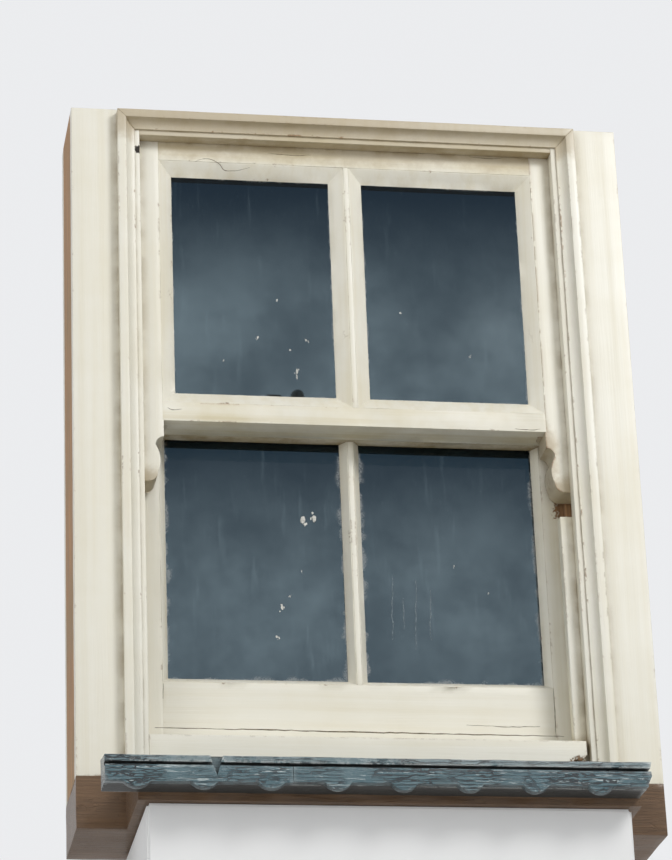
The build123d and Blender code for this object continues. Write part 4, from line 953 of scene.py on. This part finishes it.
class CrackPaint(bpy.types.Operator):
    """Open hairlines in the paint of the top rail and at the joints of the sashes"""
    bl_idname = "sash.crack_paint"
    bl_label = "Crack the paint"

    def execute(self, context):
        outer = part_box("upper_top_rail")[0].y
        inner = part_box("lower_bottom_rail")[0].y
        hairlines("upper", outer, (
            ((-179.7, 822.0), (-166.0, 827.0), (-152.0, 822.0), (-144.3, 812.5), (-128.0, 813.0),
             (-114.4, 817.5)),
            ((-92.0, 838.0), (-70.0, 836.0), (-41.0, 837.5)),
            ((186.6, 491.1), (202.0, 490.4), (216.3, 492.0)),
            ((-219.0, 505.0), (-212.0, 502.0), (-201.0, 502.5)),
            ((150.0, 845.0), (171.0, 843.5), (190.0, 844.0))))
        hairlines("lower", inner, (
            ((223.4, 190.0), (223.0, 162.0), (222.6, 131.2)),
            ((-223.0, 188.0), (-223.4, 168.0)),
            ((120.0, 145.0), (168.0, 143.5), (205.0, 144.5))))
        # A dark line along the foot of the bottom rail, next to the sill
        hairlines("lower", inner, ((
            (-233.0, 135.6), (-150.0, 135.3), (-40.0, 134.6), (60.0, 134.0), (160.0, 133.6),
            (232.0, 133.0)),), 0.75, "dark_line")
        return {"FINISHED"}


def hairlines(sash, face, paths, radius=0.38, label="hairlines"):
    """Dark hairlines on a front face, from points in millimetres."""
    bm = bmesh.new()
    for path in paths:
        add_strand(bm, [Vector((x * MM, face, z * MM)) for x, z in path], radius * MM, 0.8 * MM)
    mesh_piece(f"{sash}_{label}", bm, "hairline", f"{sash}_sash")


class DressCords(bpy.types.Operator):
    """Braided cords, the pulleys and the weights"""
    bl_idname = "sash.dress_cords"
    bl_label = "Dress the cords and weights"

    def execute(self, context):
        for sash in ("upper", "lower"):
            lengths = [(f"{sash}_sash_cords", f"{sash}_sash")]
            for side in ("left", "right"):
                lengths.append((f"{sash}_weight_cord_{side}", f"{sash}_weight_{side}"))
                carried(f"{sash}_weight_{side}", "iron")
                carried(f"{sash}_pulley_wheel_{side}", "brass")
            for node, body in lengths:
                cord_run(node)
        carried("cord_bends", "cord")
        carried("pulley_cases", "iron")
        return {"FINISHED"}


def cord_run(node):
    """A cord's straight run, cut into short lengths."""
    bm = bmesh.new()
    bm.from_mesh(nodes[node].data)
    bmesh.ops.remove_doubles(bm, verts=bm.verts[:], dist=WELD)
    slice_up(bm, 2, 0.006)
    for face in bm.faces:
        face.smooth = True
    piece = mesh_piece(f"{node}_braided", bm, "cord", None)
    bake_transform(piece)
    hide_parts(node)


class DressFittings(bpy.types.Operator):
    """Fastener and sash lifts"""
    bl_idname = "sash.dress_fittings"
    bl_label = "Dress the fittings"

    def execute(self, context):
        for node in ("fastener_base", "fastener_lever", "fastener_keep", "sash_lifts"):
            carried(node, "knob")
        return {"FINISHED"}


class SetStage(bpy.types.Operator):
    """Pale floor and plinth, soft lights and the camera below and left of the window"""
    bl_idname = "sash.set_stage"
    bl_label = "Set the stage"

    def execute(self, context):
        settings = context.scene.sash_stage
        floor = -settings.floor_drop
        slab = 0.05
        under_sill = -0.0006
        stage_block("floor", (-6.0, 6.0), (-6.0, 5.0), (floor - slab, floor), 0.2)
        stage_block("plinth", (-0.262, 0.262), (-0.098, 0.112), (floor, under_sill), 0.12)
        soft_light("key", (2.1, -3.2, 2.7), 1.6, settings.key_power)
        soft_light("fill", (-2.6, -2.6, 0.6), 2.2, settings.fill_power)
        soft_light("back_fill", (2.6, 2.6, 0.4), 1.8, settings.fill_power)
        surround(settings.surround)
        photo_camera()
        context.scene.view_settings.view_transform = "Standard"
        return {"FINISHED"}


def stage_block(name, xs, ys, zs, glow):
    """A pale block that is lit up a little where it is looked at."""
    bm = bmesh.new()
    bmesh.ops.create_cube(bm, size=1.0)
    for v in bm.verts:
        v.co = Vector([pair[0] if c < 0 else pair[1] for c, pair in zip(v.co, (xs, ys, zs))])
    bmesh.ops.bevel(bm, geom=bm.edges[:], offset=0.003, segments=3, affect="EDGES")
    mesh = bpy.data.meshes.new(name)
    bm.to_mesh(mesh)
    bm.free()
    material, tree, shader = new_material(f"{name}_pale")
    soft = cloud(tree, place(tree), 3.0, 2.0)
    colour = mixed(tree, soft, *STAGE_TONES)
    tree.links.new(colour, shader.inputs["Base Color"])
    shader.inputs["Roughness"].default_value = 0.9
    shader.inputs["Emission Color"].default_value = DAYLIGHT
    tree.links.new(maths(tree, "MULTIPLY", looked_at(tree), glow), shader.inputs["Emission Strength"])
    mesh.materials.append(material)
    block = bpy.data.objects.new(name, mesh)
    bpy.context.scene.collection.objects.link(block)


def looked_at(tree):
    """One where the camera, a reflection or a look through the glass meets the surface."""
    path = put(tree, "ShaderNodeLightPath").outputs
    seen = maths(tree, "MAXIMUM", path["Is Camera Ray"], path["Is Transmission Ray"])
    return maths(tree, "MAXIMUM", seen, path["Is Glossy Ray"])


def soft_light(name, where, size, power):
    """A round lamp that points at the middle of the stage and isn't seen through the glass."""
    data = bpy.data.lights.new(name, "AREA")
    data.shape = "DISK"
    data.size = size
    data.energy = power
    lamp = bpy.data.objects.new(name, data)
    lamp.location = where
    lamp.rotation_euler = (Vector(STAGE_MIDDLE) - Vector(where)).to_track_quat("-Z", "Y").to_euler()
    lamp.visible_transmission = False
    bpy.context.scene.collection.objects.link(lamp)


def surround(strength):
    """Even light, with a pale background where the camera, metal and glass look past the window."""
    world = bpy.data.worlds.new("pale_surround")
    bpy.context.scene.world = world
    world.use_nodes = True
    tree = world.node_tree
    tree.nodes.clear()
    extra = maths(tree, "MULTIPLY", looked_at(tree), BACKGROUND_LEVEL - strength)
    level = maths(tree, "ADD", extra, strength)
    back = put(tree, "ShaderNodeBackground", {"Color": DAYLIGHT, "Strength": level})
    out = put(tree, "ShaderNodeOutputWorld")
    tree.links.new(back.outputs[0], out.inputs["Surface"])


def photo_camera():
    """The camera that a fit to the photograph's edges gives, for a frame of 672 by 860."""
    image_width = 672
    focal_pixels = 3457.0
    yaw, pitch, roll = (math.radians(a) for a in (10.17, 23.26, -2.28))
    data = bpy.data.cameras.new("photo_camera")
    data.sensor_fit = "HORIZONTAL"
    data.sensor_width = 36.0
    data.lens = focal_pixels * data.sensor_width / image_width
    camera = bpy.data.objects.new("photo_camera", data)
    camera.location = (-0.667, -3.569, -1.083)
    forward = Vector((math.sin(yaw) * math.cos(pitch), math.cos(yaw) * math.cos(pitch), math.sin(pitch)))
    right = Vector((math.cos(yaw), -math.sin(yaw), 0.0))
    up = right.cross(forward)
    tilted_right = right * math.cos(roll) + up * math.sin(roll)
    tilted_up = up * math.cos(roll) - right * math.sin(roll)
    camera.rotation_euler = Matrix((tilted_right, tilted_up, -forward)).transposed().to_euler()
    bpy.context.scene.collection.objects.link(camera)
    bpy.context.scene.camera = camera


class SashPanel(bpy.types.Panel):
    """Buttons and settings for the sash window"""
    bl_idname = "VIEW3D_PT_sash_window"
    bl_label = "Sash Window"
    bl_space_type = "VIEW_3D"
    bl_region_type = "UI"
    bl_category = "Sash Window"

    def draw(self, context):
        column = self.layout.column()
        for operator in OPERATORS:
            column.operator(operator.bl_idname)
        for group in (context.scene.sash_paint, context.scene.sash_glass, context.scene.sash_stage):
            for key in group.__annotations__:
                column.prop(group, key)


SETTINGS = (
    ("sash_paint", PaintSettings), ("sash_glass", GlassSettings), ("sash_stage", StageSettings))
OPERATORS = (
    DressSills, DressFrame, DressUpperSash, DressLowerSash, MarkGlass, CrackPaint, DressCords,
    DressFittings, SetStage)


def register():
    for name, group in SETTINGS:
        bpy.utils.register_class(group)
        setattr(bpy.types.Scene, name, PointerProperty(type=group))
    for operator in OPERATORS:
        bpy.utils.register_class(operator)
    bpy.utils.register_class(SashPanel)


def unregister():
    bpy.utils.unregister_class(SashPanel)
    for operator in reversed(OPERATORS):
        bpy.utils.unregister_class(operator)
    for name, group in reversed(SETTINGS):
        delattr(bpy.types.Scene, name)
        bpy.utils.unregister_class(group)


def main():
    register()
    for operator in OPERATORS:
        group, name = operator.bl_idname.split(".")
        getattr(getattr(bpy.ops, group), name)()
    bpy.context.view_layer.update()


if __name__ == "__main__":
    main()
